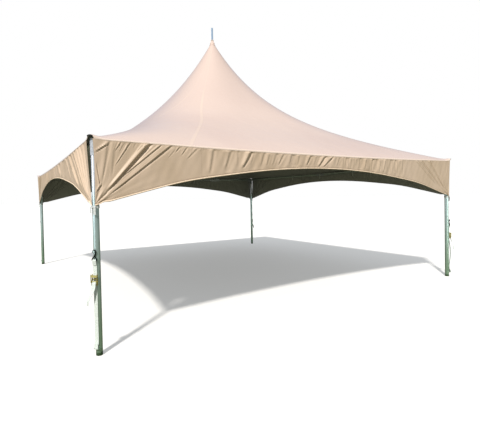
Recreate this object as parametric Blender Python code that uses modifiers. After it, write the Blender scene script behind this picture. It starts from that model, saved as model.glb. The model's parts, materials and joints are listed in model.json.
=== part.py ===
# Marquee tent: a 20 ft square high-peak frame marquee with one fabric cover.
# Metres, +Z up, origin on the ground under the mast. The front faces -Y.

import math

import bmesh
import bpy
from mathutils import Matrix, Vector

# Plan and heights
LEG_SPACING = 6.03            # between leg axes along a side
LEG_DIAMETER = 0.0635
EAVE_HEIGHT = 2.055           # edge of the roof cover at the corners
EAVE_SAG = 0.03               # the edge hangs this much lower at mid side
COVER_OVERHANG = 0.060        # cover's edge outside the leg axes
FABRIC_THICKNESS = 0.003
GAP = 0.0003                  # left between pieces that touch

# Roof: how the hip falls from the peak, and how the plan turns from round to square
ROOF_RISE = 2.64              # from the eave to the point that the hips aim at
HIP_STRAIGHT = 0.34           # share of the hip's fall that is a straight line
HIP_SWOOP = 0.353             # how far out the steep part near the peak reaches
PLAN_ROUNDING = 0.81          # how far up the plan is still nearer square than round
PEAK_RING_RADIUS = 0.042      # the cover's opening at the mast

# Valances
ARCH_CROWN_HEIGHT = 1.835
ARCH_SPRING_HEIGHT = 1.42
VALANCE_LEAN = math.radians(2.0)   # the lower corners are tied in to the legs
SLOT_HALF_TOP = 0.046         # corner slot, from the corner to the fabric's end
SLOT_HALF_BOTTOM = 0.018

# Eave frame
EAVE_TUBE_DIAMETER = 0.0508
EAVE_TUBE_HEIGHT = 2.034      # tube axis at the corners
COUPLER_LENGTH = 0.24
COUPLER_DIAMETER = 0.060
SLEEVE_DIAMETER = 0.074       # corner fitting round the leg
SLEEVE_BOTTOM = 1.90
SLEEVE_TOP = 2.0592           # the cover's corner bears on it
ARM_DIAMETER = 0.062          # corner fitting round the eave tubes
ARM_LENGTH = 0.13
LUG_LENGTH = 0.085            # plate that holds the cable, from the leg axis
LUG_HEIGHT = 1.955
LUG_THICKNESS = 0.012
LUG_DEPTH = 0.06

# Mast and cables
MAST_DIAMETER = 0.0635
MAST_FOOT_HEIGHT = 1.83
HUB_RADIUS = 0.075
HUB_RIM = 0.036
HUB_SOCKET_HEIGHT = 0.085
MAST_TOP_HEIGHT = 4.56
TIP_DIAMETER = 0.036
TIP_TOP_HEIGHT = 4.962
CABLE_DIAMETER = 0.010
TERMINAL_DIAMETER = 0.022
TERMINAL_LENGTH = 0.11

# Anchor straps on the outer side of the legs
PIN_HEIGHT = 0.995
PIN_REACH = 0.054             # from the leg axis to the outside of its head
PIN_DIAMETER = 0.010
PIN_HEAD_DIAMETER = 0.019
PIN_HEAD_LENGTH = 0.005
STAPLE_HEIGHT = 0.075
STAPLE_WIDTH = 0.056
STAPLE_REACH = 0.050
STAPLE_WIRE = 0.008
HOOK_WIRE = 0.007
HOOK_LOOP_RADIUS = 0.0165
HOOK_BAR_DROP = 0.085         # from the pin to the bar that carries the webbing
HOOK_BAR_HALF = 0.0265
STRAP_PLANE = 0.0425          # from the leg axis to the middle of the hook's wire
WEBBING_WIDTH = 0.038
WEBBING_THICKNESS = 0.0025
WEBBING_BACK = 0.0333         # from the leg axis to the webbing's inner face
RATCHET_BOTTOM = 0.675
RATCHET_HEIGHT = 0.105
RATCHET_WIDTH = 0.056
RATCHET_DEPTH = 0.026
RATCHET_PLATE = 0.004
RATCHET_BACK = WEBBING_BACK + WEBBING_THICKNESS + GAP
SPOOL_RADIUS = 0.011
SPOOL_SETBACK = 0.0145
SPOOL_HEIGHT = 0.036
TAIL_BOTTOM = 0.49

HALF = LEG_SPACING / 2
EDGE = HALF + COVER_OVERHANG
# name of each corner and where it lies
CORNERS = {
    "front_left": (-1, -1),
    "front_right": (1, -1),
    "back_right": (1, 1),
    "back_left": (-1, 1),
}
# name of each side, its turn about the mast from the front, and the corners on its left and right
SIDES = {
    "front": (0, "left", "right"),
    "right": (90, "front", "back"),
    "back": (180, "right", "left"),
    "left": (270, "back", "front"),
}
STRAPPED_LEGS = ("front_left", "front_right", "back_right")

MATERIALS = {
    "leg_aluminium": ((0.74, 0.80, 0.80), 0.38, 1.0),
    "frame_aluminium": ((0.66, 0.70, 0.70), 0.42, 1.0),
    "fitting_steel": ((0.60, 0.64, 0.66), 0.45, 1.0),
    "tip_steel": ((0.44, 0.56, 0.68), 0.40, 0.6),
    "cable_steel": ((0.40, 0.41, 0.42), 0.45, 1.0),
    "cover_fabric": ((0.90, 0.75, 0.66), 0.55, 0.0),
    "valance_fabric": ((0.66, 0.52, 0.38), 0.65, 0.0),
    "hook_coating": ((0.03, 0.05, 0.04), 0.35, 0.0),
    "ratchet_zinc": ((0.62, 0.52, 0.26), 0.40, 0.9),
    "webbing": ((0.84, 0.86, 0.80), 0.80, 0.0),
}


def clear_scene():
    for obj in list(bpy.data.objects):
        bpy.data.objects.remove(obj, do_unlink=True)


def new_collection(name):
    collection = bpy.data.collections.new(name)
    bpy.context.scene.collection.children.link(collection)
    return collection


def material(name):
    found = bpy.data.materials.get(name)
    if found:
        return found
    colour, roughness, metallic = MATERIALS[name]
    made = bpy.data.materials.new(name)
    made.use_nodes = True
    shader = made.node_tree.nodes["Principled BSDF"]
    shader.inputs["Base Color"].default_value = (*colour, 1.0)
    shader.inputs["Roughness"].default_value = roughness
    shader.inputs["Metallic"].default_value = metallic
    made.diffuse_color = (*colour, 1.0)
    return made


def add_object(name, data, slot, place=Matrix.Identity(4)):
    obj = bpy.data.objects.new(name, data)
    parts.objects.link(obj)
    obj.matrix_world = place
    if not data.materials:
        data.materials.append(material(slot))
    return obj


def round_off(mesh, degrees=35):
    mesh.shade_smooth()
    mesh.set_sharp_from_angle(angle=math.radians(degrees))


def mesh_from(bm, name):
    mesh = bpy.data.meshes.new(name)
    bm.to_mesh(mesh)
    bm.free()
    return mesh


def turned(name, profile, slot, place=Matrix.Identity(4), steps=24):
    """A profile of (radius, height) points, top to bottom, turned about Z."""
    mesh = bpy.data.meshes.new(name)
    points = [(radius, 0.0, height) for radius, height in profile]
    mesh.from_pydata(points, [(i, i + 1) for i in range(len(points) - 1)], [])
    obj = add_object(name, mesh, slot, place)
    screw = obj.modifiers.new("turn", "SCREW")
    screw.axis = "Z"
    screw.steps = steps
    screw.render_steps = steps
    screw.use_merge_vertices = True
    screw.merge_threshold = 0.00001
    screw.use_smooth_shade = False
    return obj


def rod_points(top, bottom, radius, edge):
    """Profile of a plain round bar with closed ends, bevelled by edge."""
    return [(0, top), (radius - edge, top), (radius, top - edge),
            (radius, bottom + edge), (radius - edge, bottom), (0, bottom)]


def add_cylinder(bm, radius, start, end, segments=24):
    start, end = Vector(start), Vector(end)
    axis = end - start
    turn = axis.to_track_quat("Z", "Y").to_matrix().to_4x4()
    bmesh.ops.create_cone(
        bm, cap_ends=True, segments=segments, radius1=radius, radius2=radius,
        depth=axis.length, matrix=Matrix.Translation((start + end) / 2) @ turn)


def cylinder_mesh(name, radius, start, end, segments=24):
    bm = bmesh.new()
    add_cylinder(bm, radius, start, end, segments)
    return mesh_from(bm, name)


def box_mesh(name, low, high):
    low, high = Vector(low), Vector(high)
    size = high - low
    bm = bmesh.new()
    bmesh.ops.create_cube(bm, size=1.0, matrix=Matrix.Translation((low + high) / 2)
                          @ Matrix.Diagonal((*size, 1.0)))
    return mesh_from(bm, name)


def solid_from_curve(name, curve):
    """The closed mesh of a filled or bevelled curve."""
    holder = bpy.data.objects.new(name, curve)
    cutters.objects.link(holder)
    bpy.context.view_layer.update()
    evaluated = holder.evaluated_get(bpy.context.evaluated_depsgraph_get())
    bm = bmesh.new()
    bm.from_mesh(bpy.data.meshes.new_from_object(evaluated))
    bpy.data.objects.remove(holder, do_unlink=True)
    bmesh.ops.remove_doubles(bm, verts=bm.verts, dist=0.00001)
    bmesh.ops.recalc_face_normals(bm, faces=bm.faces)
    return mesh_from(bm, name)


def wire_mesh(name, points, radius, resolution=2):
    """A round wire through the points."""
    curve = bpy.data.curves.new(name, "CURVE")
    curve.dimensions = "3D"
    spline = curve.splines.new("POLY")
    spline.points.add(len(points) - 1)
    for point, place in zip(spline.points, points):
        point.co = (*place, 1.0)
    curve.bevel_depth = radius
    curve.bevel_resolution = resolution
    curve.use_fill_caps = True
    return solid_from_curve(name, curve)


def cutter(name, mesh):
    obj = bpy.data.objects.new(name, mesh)
    cutters.objects.link(obj)
    obj.hide_render = True
    obj.display_type = "WIRE"
    return obj


def joined(name, meshes):
    """One closed mesh from closed meshes that run into each other."""
    base = bpy.data.objects.new(name, meshes[0])
    cutters.objects.link(base)
    for i, mesh in enumerate(meshes[1:]):
        union = base.modifiers.new("join", "BOOLEAN")
        union.operation = "UNION"
        union.object = cutter(f"{name}_piece_{i}", mesh)
    bpy.context.view_layer.update()
    evaluated = base.evaluated_get(bpy.context.evaluated_depsgraph_get())
    result = bpy.data.meshes.new_from_object(evaluated)
    result.name = name
    bpy.data.objects.remove(base, do_unlink=True)
    return result


def turn_z(degrees):
    return Matrix.Rotation(math.radians(degrees), 4, "Z")


def corner_place(corner):
    """Puts a piece drawn with +X pointing out of the tent on a corner's leg axis."""
    sx, sy = CORNERS[corner]
    return Matrix.Translation((sx * HALF, sy * HALF, 0)) @ turn_z(math.degrees(math.atan2(sy, sx)))


# Roof form

def roof_share(hip):
    """Height of the roof, as a share of its rise, at a share of the way out along the hip."""
    return (1 - hip) * (HIP_STRAIGHT + (1 - HIP_STRAIGHT) * math.exp(-hip / HIP_SWOOP))


def roof_point(hip, across):
    """A point of the front quarter: hip runs 0 to 1 down the hip, across -1 to 1 along the side."""
    share = roof_share(hip)
    roundness = share * (1 + PLAN_ROUNDING) / (share + PLAN_ROUNDING)
    fullness = max(1 + (math.sqrt(2) - 1) * roundness, 1.001)
    power = math.log(2) / math.log(fullness)
    angle = math.atan(across)
    out, along = math.cos(angle), math.sin(angle)
    reach = hip * fullness * EDGE / (out ** power + abs(along) ** power) ** (1 / power)
    height = EAVE_HEIGHT + ROOF_RISE * share - EAVE_SAG * (1 - across ** 2) * hip ** 8
    return Vector((reach * along, -reach * out, height))


def roof_quarter_mesh(rows=16, columns=10):
    """The front quarter of the cover between two hips, an arched sheet with a thickness."""
    bm = bmesh.new()
    top = PEAK_RING_RADIUS / (EDGE * math.sqrt(2))
    grid = []
    for row in range(rows + 1):
        hip = 1 - (1 - top) * (row / rows) ** 0.8
        line = []
        for column in range(columns + 1):
            across = -1 + 2 * column / columns
            point = roof_point(hip, across)
            if column in (0, columns):
                point.x -= math.copysign(GAP * 0.75, point.x)
            line.append(bm.verts.new(point))
        grid.append(line)
    for lower, upper in zip(grid, grid[1:]):
        for i in range(columns):
            bm.faces.new((lower[i], lower[i + 1], upper[i + 1], upper[i]))
    under = bmesh.ops.extrude_face_region(bm, geom=bm.faces[:], use_keep_orig=True)
    moved = [item for item in under["geom"] if isinstance(item, bmesh.types.BMVert)]
    bmesh.ops.translate(bm, verts=moved, vec=(0, 0, -FABRIC_THICKNESS))
    bmesh.ops.recalc_face_normals(bm, faces=bm.faces)
    mesh = mesh_from(bm, "roof_quarter")
    round_off(mesh)
    return mesh


def make_roof():
    mesh = roof_quarter_mesh()
    for side, (turn, _, _) in SIDES.items():
        add_object(f"roof_cover_{side}", mesh, "cover_fabric", turn_z(turn))


# Valances

def valance_outline(points_along=18):
    """Outline of a valance seen from outside, with the eave corner height as zero."""
    spring = ARCH_SPRING_HEIGHT - EAVE_HEIGHT
    top_end = EDGE - SLOT_HALF_TOP
    bottom_end = EDGE - SLOT_HALF_BOTTOM + spring * math.tan(VALANCE_LEAN)
    crown = ARCH_CROWN_HEIGHT - EAVE_HEIGHT
    drop = FABRIC_THICKNESS + 2 * GAP
    steps = [-1 + 2 * i / points_along for i in range(points_along + 1)]
    top = [(s * top_end, -EAVE_SAG * (1 - (s * top_end / EDGE) ** 2) - drop) for s in steps]
    bottom = [(s * bottom_end, crown + (spring - crown) * s * s) for s in reversed(steps)]
    return top + bottom


def valance_mesh():
    curve = bpy.data.curves.new("valance", "CURVE")
    curve.dimensions = "2D"
    curve.fill_mode = "BOTH"
    curve.extrude = FABRIC_THICKNESS / 2
    spline = curve.splines.new("POLY")
    points = valance_outline()
    spline.points.add(len(points) - 1)
    for point, (x, y) in zip(spline.points, points):
        point.co = (x, y, 0, 1)
    spline.use_cyclic_u = True
    return solid_from_curve("valance", curve)


def make_valances():
    mesh = valance_mesh()
    upright = Matrix.Rotation(math.pi / 2 + VALANCE_LEAN, 4, "X")
    hang = Matrix.Translation((0, -EDGE + FABRIC_THICKNESS / 2, EAVE_HEIGHT)) @ upright
    for side, (turn, _, _) in SIDES.items():
        add_object(f"valance_{side}", mesh, "valance_fabric", turn_z(turn) @ hang)


# Legs

def leg_mesh():
    """Tube with its anchor pin above and its staple near the ground, on the +X side."""
    radius = LEG_DIAMETER / 2
    tube = cylinder_mesh("tube", radius, (0, 0, 0), (0, 0, SLEEVE_BOTTOM - GAP), 28)
    inside = radius - 0.008
    pin = cylinder_mesh("pin", PIN_DIAMETER / 2, (inside, 0, PIN_HEIGHT),
                        (PIN_REACH - 0.001, 0, PIN_HEIGHT), 10)
    head = cylinder_mesh("head", PIN_HEAD_DIAMETER / 2, (PIN_REACH - PIN_HEAD_LENGTH, 0, PIN_HEIGHT),
                         (PIN_REACH, 0, PIN_HEIGHT), 12)
    side = STAPLE_WIDTH / 2
    bend = 0.006
    foot = math.sqrt(radius ** 2 - side ** 2) - 0.006
    staple = wire_mesh("staple", [
        (foot, -side, STAPLE_HEIGHT), (STAPLE_REACH - bend, -side, STAPLE_HEIGHT),
        (STAPLE_REACH, -side + bend, STAPLE_HEIGHT), (STAPLE_REACH, side - bend, STAPLE_HEIGHT),
        (STAPLE_REACH - bend, side, STAPLE_HEIGHT), (foot, side, STAPLE_HEIGHT),
    ], STAPLE_WIRE / 2)
    mesh = joined("leg", [tube, pin, head, staple])
    round_off(mesh)
    return mesh


def make_legs():
    mesh = leg_mesh()
    for corner in CORNERS:
        add_object(f"leg_{corner}", mesh, "leg_aluminium", corner_place(corner))


# Eave frame

def corner_fitting_mesh():
    """Sleeve over the leg, an arm over each eave tube and a lug for the cable, +X pointing out."""
    sleeve = cylinder_mesh("sleeve", SLEEVE_DIAMETER / 2, (0, 0, SLEEVE_BOTTOM), (0, 0, SLEEVE_TOP), 28)
    pieces = [sleeve]
    for turn in (135, -135):
        along = Vector((math.cos(math.radians(turn)), math.sin(math.radians(turn)), 0)) * ARM_LENGTH
        start = Vector((0, 0, EAVE_TUBE_HEIGHT))
        pieces.append(cylinder_mesh("arm", ARM_DIAMETER / 2, start, start + along, 24))
    pieces.append(box_mesh("lug", (-LUG_LENGTH, -LUG_THICKNESS / 2, LUG_HEIGHT - LUG_DEPTH / 2),
                           (-0.02, LUG_THICKNESS / 2, LUG_HEIGHT + LUG_DEPTH / 2)))
    mesh = joined("corner_fitting", pieces)
    round_off(mesh)
    return mesh


def make_corner_fittings():
    mesh = corner_fitting_mesh()
    for corner in CORNERS:
        add_object(f"corner_fitting_{corner}", mesh, "fitting_steel", corner_place(corner))


def make_eave_frame():
    """Two tubes to a side, and the coupler that joins them, a little lower at mid side."""
    corner_end = Vector((HALF - ARM_LENGTH - GAP, -HALF, EAVE_TUBE_HEIGHT))
    middle_height = EAVE_TUBE_HEIGHT - EAVE_SAG
    middle_end = Vector((COUPLER_LENGTH / 2 + GAP, -HALF, middle_height))
    radius = EAVE_TUBE_DIAMETER / 2
    right = cylinder_mesh("eave_tube_right", radius, middle_end, corner_end, 20)
    flip = Vector((-1, 1, 1))
    left = cylinder_mesh("eave_tube_left", radius, middle_end * flip, corner_end * flip, 20)
    half = COUPLER_LENGTH / 2
    coupler = cylinder_mesh("eave_coupler", COUPLER_DIAMETER / 2, (-half, -HALF, middle_height),
                            (half, -HALF, middle_height), 20)
    for mesh in (right, left, coupler):
        round_off(mesh)
    for side, (turn, left_name, right_name) in SIDES.items():
        add_object(f"eave_tube_{side}_{left_name}", left, "frame_aluminium", turn_z(turn))
        add_object(f"eave_tube_{side}_{right_name}", right, "frame_aluminium", turn_z(turn))
        add_object(f"eave_coupler_{side}", coupler, "fitting_steel", turn_z(turn))


# Mast and cables

def make_mast():
    rim_top = MAST_FOOT_HEIGHT + HUB_RIM
    socket_top = rim_top + HUB_SOCKET_HEIGHT
    socket = MAST_DIAMETER / 2 + 0.006
    turned("mast_hub", [
        (0, socket_top), (socket, socket_top), (socket, rim_top + 0.004), (socket + 0.006, rim_top),
        (HUB_RADIUS - 0.003, rim_top), (HUB_RADIUS, rim_top - 0.003),
        (HUB_RADIUS, MAST_FOOT_HEIGHT + 0.003), (HUB_RADIUS - 0.003, MAST_FOOT_HEIGHT),
        (0, MAST_FOOT_HEIGHT),
    ], "fitting_steel", steps=32)
    turned("mast", rod_points(MAST_TOP_HEIGHT, socket_top + GAP, MAST_DIAMETER / 2, 0.001),
           "frame_aluminium", steps=24)
    ring_height = roof_point(PEAK_RING_RADIUS / (EDGE * math.sqrt(2)), 0).z
    seat = ring_height + GAP
    collar = PEAK_RING_RADIUS - 2 * GAP
    tip = TIP_DIAMETER / 2
    turned("mast_tip", [
        (0, TIP_TOP_HEIGHT), (tip - 0.004, TIP_TOP_HEIGHT), (tip, TIP_TOP_HEIGHT - 0.005),
        (tip, TIP_TOP_HEIGHT - 0.056), (tip - 0.002, TIP_TOP_HEIGHT - 0.058),
        (tip - 0.002, TIP_TOP_HEIGHT - 0.061), (tip, TIP_TOP_HEIGHT - 0.063),
        (tip, seat + 0.062), (tip + 0.006, seat + 0.050), (PEAK_RING_RADIUS + 0.002, seat + 0.010),
        (PEAK_RING_RADIUS + 0.002, seat), (collar, seat), (collar, seat - 0.012),
        (MAST_DIAMETER / 2, MAST_TOP_HEIGHT + 0.02), (MAST_DIAMETER / 2, MAST_TOP_HEIGHT + GAP),
        (0, MAST_TOP_HEIGHT + GAP),
    ], "tip_steel", steps=24)


def make_cables():
    """Straight steel cables from the corner lugs to the hub, with a swaged end at both."""
    lug = Vector((HALF * math.sqrt(2) - LUG_LENGTH - 2 * GAP, 0, LUG_HEIGHT))
    rim = Vector((HUB_RADIUS + 2 * GAP, 0, MAST_FOOT_HEIGHT + HUB_RIM / 2))
    length = (lug - rim).length
    wide, thin = TERMINAL_DIAMETER / 2, CABLE_DIAMETER / 2
    profile = [
        (0, length), (wide, length), (wide, length - TERMINAL_LENGTH + 0.01),
        (thin, length - TERMINAL_LENGTH), (thin, TERMINAL_LENGTH),
        (wide, TERMINAL_LENGTH - 0.01), (wide, 0), (0, 0),
    ]
    slope = (lug - rim).to_track_quat("Z", "Y").to_matrix().to_4x4()
    for corner, (sx, sy) in CORNERS.items():
        turn = turn_z(math.degrees(math.atan2(sy, sx)))
        turned(f"cross_cable_{corner}", profile, "cable_steel",
               turn @ Matrix.Translation(rim) @ slope, steps=12)


# Anchor straps, drawn at the leg axis with +X pointing out of the tent

def hook_mesh():
    """Wire hook that hangs on the leg's pin, with a bar below for the webbing."""
    loop = HOOK_LOOP_RADIUS
    centre = PIN_DIAMETER / 2 + GAP + HOOK_WIRE / 2 - loop
    over = []
    for i in range(11):
        angle = math.radians(200 - 235 * i / 10)
        over.append((loop * math.cos(angle), loop * math.sin(angle) + centre))
    path = over + [
        (0.008, -0.034), (-0.006, -0.050), (-HOOK_BAR_HALF, -HOOK_BAR_DROP + 0.006),
        (-HOOK_BAR_HALF + 0.005, -HOOK_BAR_DROP), (HOOK_BAR_HALF - 0.005, -HOOK_BAR_DROP),
        (HOOK_BAR_HALF, -HOOK_BAR_DROP + 0.006), (0.010, -0.053),
    ]
    mesh = wire_mesh("hook", [(STRAP_PLANE, y, PIN_HEIGHT + z) for y, z in path], HOOK_WIRE / 2)
    round_off(mesh, 50)
    return mesh


def ribbon_mesh(name, path):
    """A flat band of webbing that follows (out, up) points, its width across the leg."""
    side = WEBBING_WIDTH / 2
    bm = bmesh.new()
    rows = [[bm.verts.new((x, y, z)) for y in (-side, side)] for x, z in path]
    for below, above in zip(rows, rows[1:]):
        bm.faces.new((below[0], below[1], above[1], above[0]))
    return mesh_from(bm, name)


def loop_round(centre, radius, start, end, steps=8):
    """Points on an arc about (out, up), between two angles in degrees."""
    out, up = centre
    angles = [math.radians(start + (end - start) * i / steps) for i in range(steps + 1)]
    return [(out + radius * math.cos(a), up + radius * math.sin(a)) for a in angles]


def add_ribbon(name, mesh, place):
    obj = add_object(name, mesh, "webbing", place)
    solid = obj.modifiers.new("thickness", "SOLIDIFY")
    solid.thickness = WEBBING_THICKNESS
    solid.offset = 0
    solid.use_even_offset = True
    return obj


def webbing_path():
    """From a sewn loop round the staple, up behind the ratchet, and round the hook's bar."""
    back = WEBBING_BACK + WEBBING_THICKNESS / 2
    foot_wrap = STAPLE_WIRE / 2 + WEBBING_THICKNESS / 2 + GAP
    foot_loop = loop_round((STAPLE_REACH, STAPLE_HEIGHT), foot_wrap, 0, -180)
    bar = (STRAP_PLANE, PIN_HEIGHT - HOOK_BAR_DROP)
    bar_wrap = HOOK_WIRE / 2 + WEBBING_THICKNESS / 2 + GAP
    bar_loop = loop_round(bar, bar_wrap, 180, 0)
    foot_end = (STAPLE_REACH - 0.002, STAPLE_HEIGHT + 0.04)
    bar_end = (STRAP_PLANE - 0.002, bar[1] - 0.045)
    return [foot_end] + foot_loop + [
        (back + 0.004, STAPLE_HEIGHT + 0.05), (back, STAPLE_HEIGHT + 0.12),
        (back, RATCHET_BOTTOM + RATCHET_HEIGHT),
    ] + bar_loop + [bar_end]


def tail_path():
    """The free end of the webbing, hanging from the ratchet's spool."""
    front = RATCHET_BACK + SPOOL_SETBACK + SPOOL_RADIUS + GAP + WEBBING_THICKNESS / 2
    start = (front, RATCHET_BOTTOM + SPOOL_HEIGHT)
    return [start, (front + 0.001, RATCHET_BOTTOM + 0.01), (0.067, 0.63), (0.072, 0.58), (0.074, 0.53),
            (0.072, TAIL_BOTTOM)]


def ratchet_mesh():
    """Two side plates, the spool and back plate between them, and the folded handle."""
    side = RATCHET_WIDTH / 2
    back = RATCHET_BACK
    front = back + RATCHET_DEPTH
    low, high = RATCHET_BOTTOM, RATCHET_BOTTOM + RATCHET_HEIGHT
    plates = []
    for y in (-side, side - RATCHET_PLATE):
        plates.append(box_mesh("plate", (back, y, low), (front, y + RATCHET_PLATE, high)))
    reach = side + 0.004
    spool = cylinder_mesh("spool", SPOOL_RADIUS, (back + SPOOL_SETBACK, -reach, low + SPOOL_HEIGHT),
                          (back + SPOOL_SETBACK, reach, low + SPOOL_HEIGHT), 14)
    crossbar = box_mesh("crossbar", (back, -side + 0.001, high - 0.030),
                        (back + 0.005, side - 0.001, high - 0.012))
    handle = box_mesh("handle", (front - 0.008, -side + 0.001, low + 0.052),
                      (front + 0.004, side - 0.001, high - 0.004))
    mesh = joined("ratchet", plates + [spool, crossbar, handle])
    round_off(mesh)
    return mesh


def make_anchor_straps():
    hook = hook_mesh()
    ratchet = ratchet_mesh()
    webbing = ribbon_mesh("webbing", webbing_path())
    tail = ribbon_mesh("tail", tail_path())
    for corner in STRAPPED_LEGS:
        place = corner_place(corner)
        add_object(f"anchor_hook_{corner}", hook, "hook_coating", place)
        add_object(f"anchor_ratchet_{corner}", ratchet, "ratchet_zinc", place)
        add_ribbon(f"anchor_webbing_{corner}", webbing, place)
        add_ribbon(f"anchor_tail_{corner}", tail, place)


clear_scene()
parts = new_collection("marquee_tent")
cutters = new_collection("cutters")
make_legs()
make_corner_fittings()
make_eave_frame()
make_mast()
make_cables()
make_roof()
make_valances()
make_anchor_straps()
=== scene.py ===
import json
import math

import bpy
import numpy as np
from mathutils import Matrix, Vector


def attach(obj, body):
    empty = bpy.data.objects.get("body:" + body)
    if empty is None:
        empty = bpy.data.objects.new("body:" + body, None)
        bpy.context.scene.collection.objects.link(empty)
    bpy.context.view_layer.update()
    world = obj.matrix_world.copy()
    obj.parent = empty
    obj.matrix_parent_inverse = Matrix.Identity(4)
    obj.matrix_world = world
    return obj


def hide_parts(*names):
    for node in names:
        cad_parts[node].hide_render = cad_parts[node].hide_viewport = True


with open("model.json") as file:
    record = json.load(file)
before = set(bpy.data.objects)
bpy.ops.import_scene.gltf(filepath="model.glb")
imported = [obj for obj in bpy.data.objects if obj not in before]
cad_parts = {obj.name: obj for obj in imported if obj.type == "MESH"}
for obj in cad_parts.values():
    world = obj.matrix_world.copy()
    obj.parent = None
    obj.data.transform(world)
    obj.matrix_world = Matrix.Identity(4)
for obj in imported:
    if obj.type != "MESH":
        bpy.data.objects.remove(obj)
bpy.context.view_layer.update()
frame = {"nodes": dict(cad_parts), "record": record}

record = frame["record"]

corners = {"front_left": (-1, -1), "front_right": (1, -1), "back_right": (1, 1), "back_left": (-1, 1)}
sides = {"front": 0, "right": 90, "back": 180, "left": 270}   # turn about the mast, in degrees
strappedLegs = ("front_left", "front_right", "back_right")
legAxis = 3.015      # from the mast to each leg, along x and along y
coverEdge = 3.075    # the same to the cover's edge
eaveHeight = 2.055
eaveSag = 0.03


# Camera, as the photograph was taken

cameraValues = {
    "place": (-3.7545, -6.6313, 1.4736), "turn": 30.508, "down": 1.133, "roll": -1.156,
    "lens": 27.603, "shift": (0.0375, -0.0224),
}


def makeCamera(values):
    turn, down, roll = (math.radians(values[k]) for k in ("turn", "down", "roll"))
    forward = Vector((math.sin(turn) * math.cos(down), math.cos(turn) * math.cos(down), -math.sin(down)))
    right = Vector((math.cos(turn), -math.sin(turn), 0))
    up = right.cross(forward)
    xAxis = right * math.cos(roll) + up * math.sin(roll)
    yAxis = up * math.cos(roll) - right * math.sin(roll)
    data = bpy.data.cameras.new("camera")
    data.lens = values["lens"]
    data.sensor_width = 36
    data.shift_x, data.shift_y = values["shift"]
    data.clip_end = 400
    camera = bpy.data.objects.new("camera", data)
    bpy.context.scene.collection.objects.link(camera)
    turned = Matrix((xAxis, yAxis, -forward)).transposed().to_4x4()
    camera.matrix_world = Matrix.Translation(values["place"]) @ turned
    bpy.context.scene.camera = camera


makeCamera(cameraValues)
bpy.context.scene.view_settings.view_transform = "Standard"   # whites stay white, as in the photograph
print("camera set")



# Material helpers

def newMaterial(name, colour, roughness, metallic=0.0, **sockets):
    made = bpy.data.materials.new(name)
    made.use_nodes = True
    nodes, links = made.node_tree.nodes, made.node_tree.links
    shader = nodes["Principled BSDF"]
    shader.inputs["Base Color"].default_value = (*colour, 1)
    shader.inputs["Roughness"].default_value = roughness
    shader.inputs["Metallic"].default_value = metallic
    for socket, value in sockets.items():
        shader.inputs[socket.replace("_", " ")].default_value = value
    made.diffuse_color = (*colour, 1)
    return made, nodes, links, shader


def addNode(nodes, kind, **settings):
    node = nodes.new(kind)
    for key, value in settings.items():
        setattr(node, key, value)
    return node


def mathNode(nodes, links, operation, *values):
    node = addNode(nodes, "ShaderNodeMath", operation=operation)
    for socket, value in zip(node.inputs, values):
        if isinstance(value, (int, float)):
            socket.default_value = value
        else:
            links.new(value, socket)
    return node.outputs[0]


def mixColour(nodes, links, factor, first, second):
    node = addNode(nodes, "ShaderNodeMix", data_type="RGBA")
    for socket, value in ((node.inputs[0], factor), (node.inputs[6], first), (node.inputs[7], second)):
        if isinstance(value, (int, float)):
            socket.default_value = value
        elif isinstance(value, tuple):
            socket.default_value = (*value, 1)
        else:
            links.new(value, socket)
    return node.outputs[2]


def rampNode(nodes, links, value, low, high):
    # eased from 0 where the value is low to 1 where it is high
    node = addNode(nodes, "ShaderNodeMapRange", interpolation_type="SMOOTHSTEP")
    node.inputs["From Min"].default_value = low
    node.inputs["From Max"].default_value = high
    links.new(value, node.inputs["Value"])
    return node.outputs["Result"]


def noiseNode(nodes, links, coordinates, scale, detail=3.0, stretch=(1, 1, 1), roughness=0.5):
    mapping = addNode(nodes, "ShaderNodeMapping")
    mapping.inputs["Scale"].default_value = stretch
    links.new(coordinates, mapping.inputs["Vector"])
    node = addNode(nodes, "ShaderNodeTexNoise")
    node.inputs["Scale"].default_value = scale
    node.inputs["Detail"].default_value = detail
    node.inputs["Roughness"].default_value = roughness
    links.new(mapping.outputs["Vector"], node.inputs["Vector"])
    return node.outputs["Fac"]


def bumpFrom(nodes, links, shader, height, distance, strength=1.0, after=None):
    bump = addNode(nodes, "ShaderNodeBump")
    bump.inputs["Distance"].default_value = distance
    bump.inputs["Strength"].default_value = strength
    links.new(height, bump.inputs["Height"])
    if after is not None:
        links.new(after, bump.inputs["Normal"])
    links.new(bump.outputs["Normal"], shader.inputs["Normal"])
    return bump.outputs["Normal"]


def objectCoordinates(nodes):
    return addNode(nodes, "ShaderNodeTexCoord").outputs["Object"]


def uvParts(nodes, links):
    parts = addNode(nodes, "ShaderNodeSeparateXYZ")
    links.new(addNode(nodes, "ShaderNodeTexCoord").outputs["UV"], parts.inputs[0])
    return parts.outputs["X"], parts.outputs["Y"]


def lineAt(nodes, links, value, place, half):
    # 1 on a thin line where the value equals the place
    return mathNode(nodes, links, "COMPARE", value, place, half)


def dashes(nodes, links, along, pitch, share=0.6):
    part = mathNode(nodes, links, "FRACT", mathNode(nodes, links, "MULTIPLY", along, 1 / pitch))
    return mathNode(nodes, links, "LESS_THAN", part, share)


# Cover fabric: coated polyester, pale outside; its inside is darker, painted shade for the underside of the roof

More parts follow.
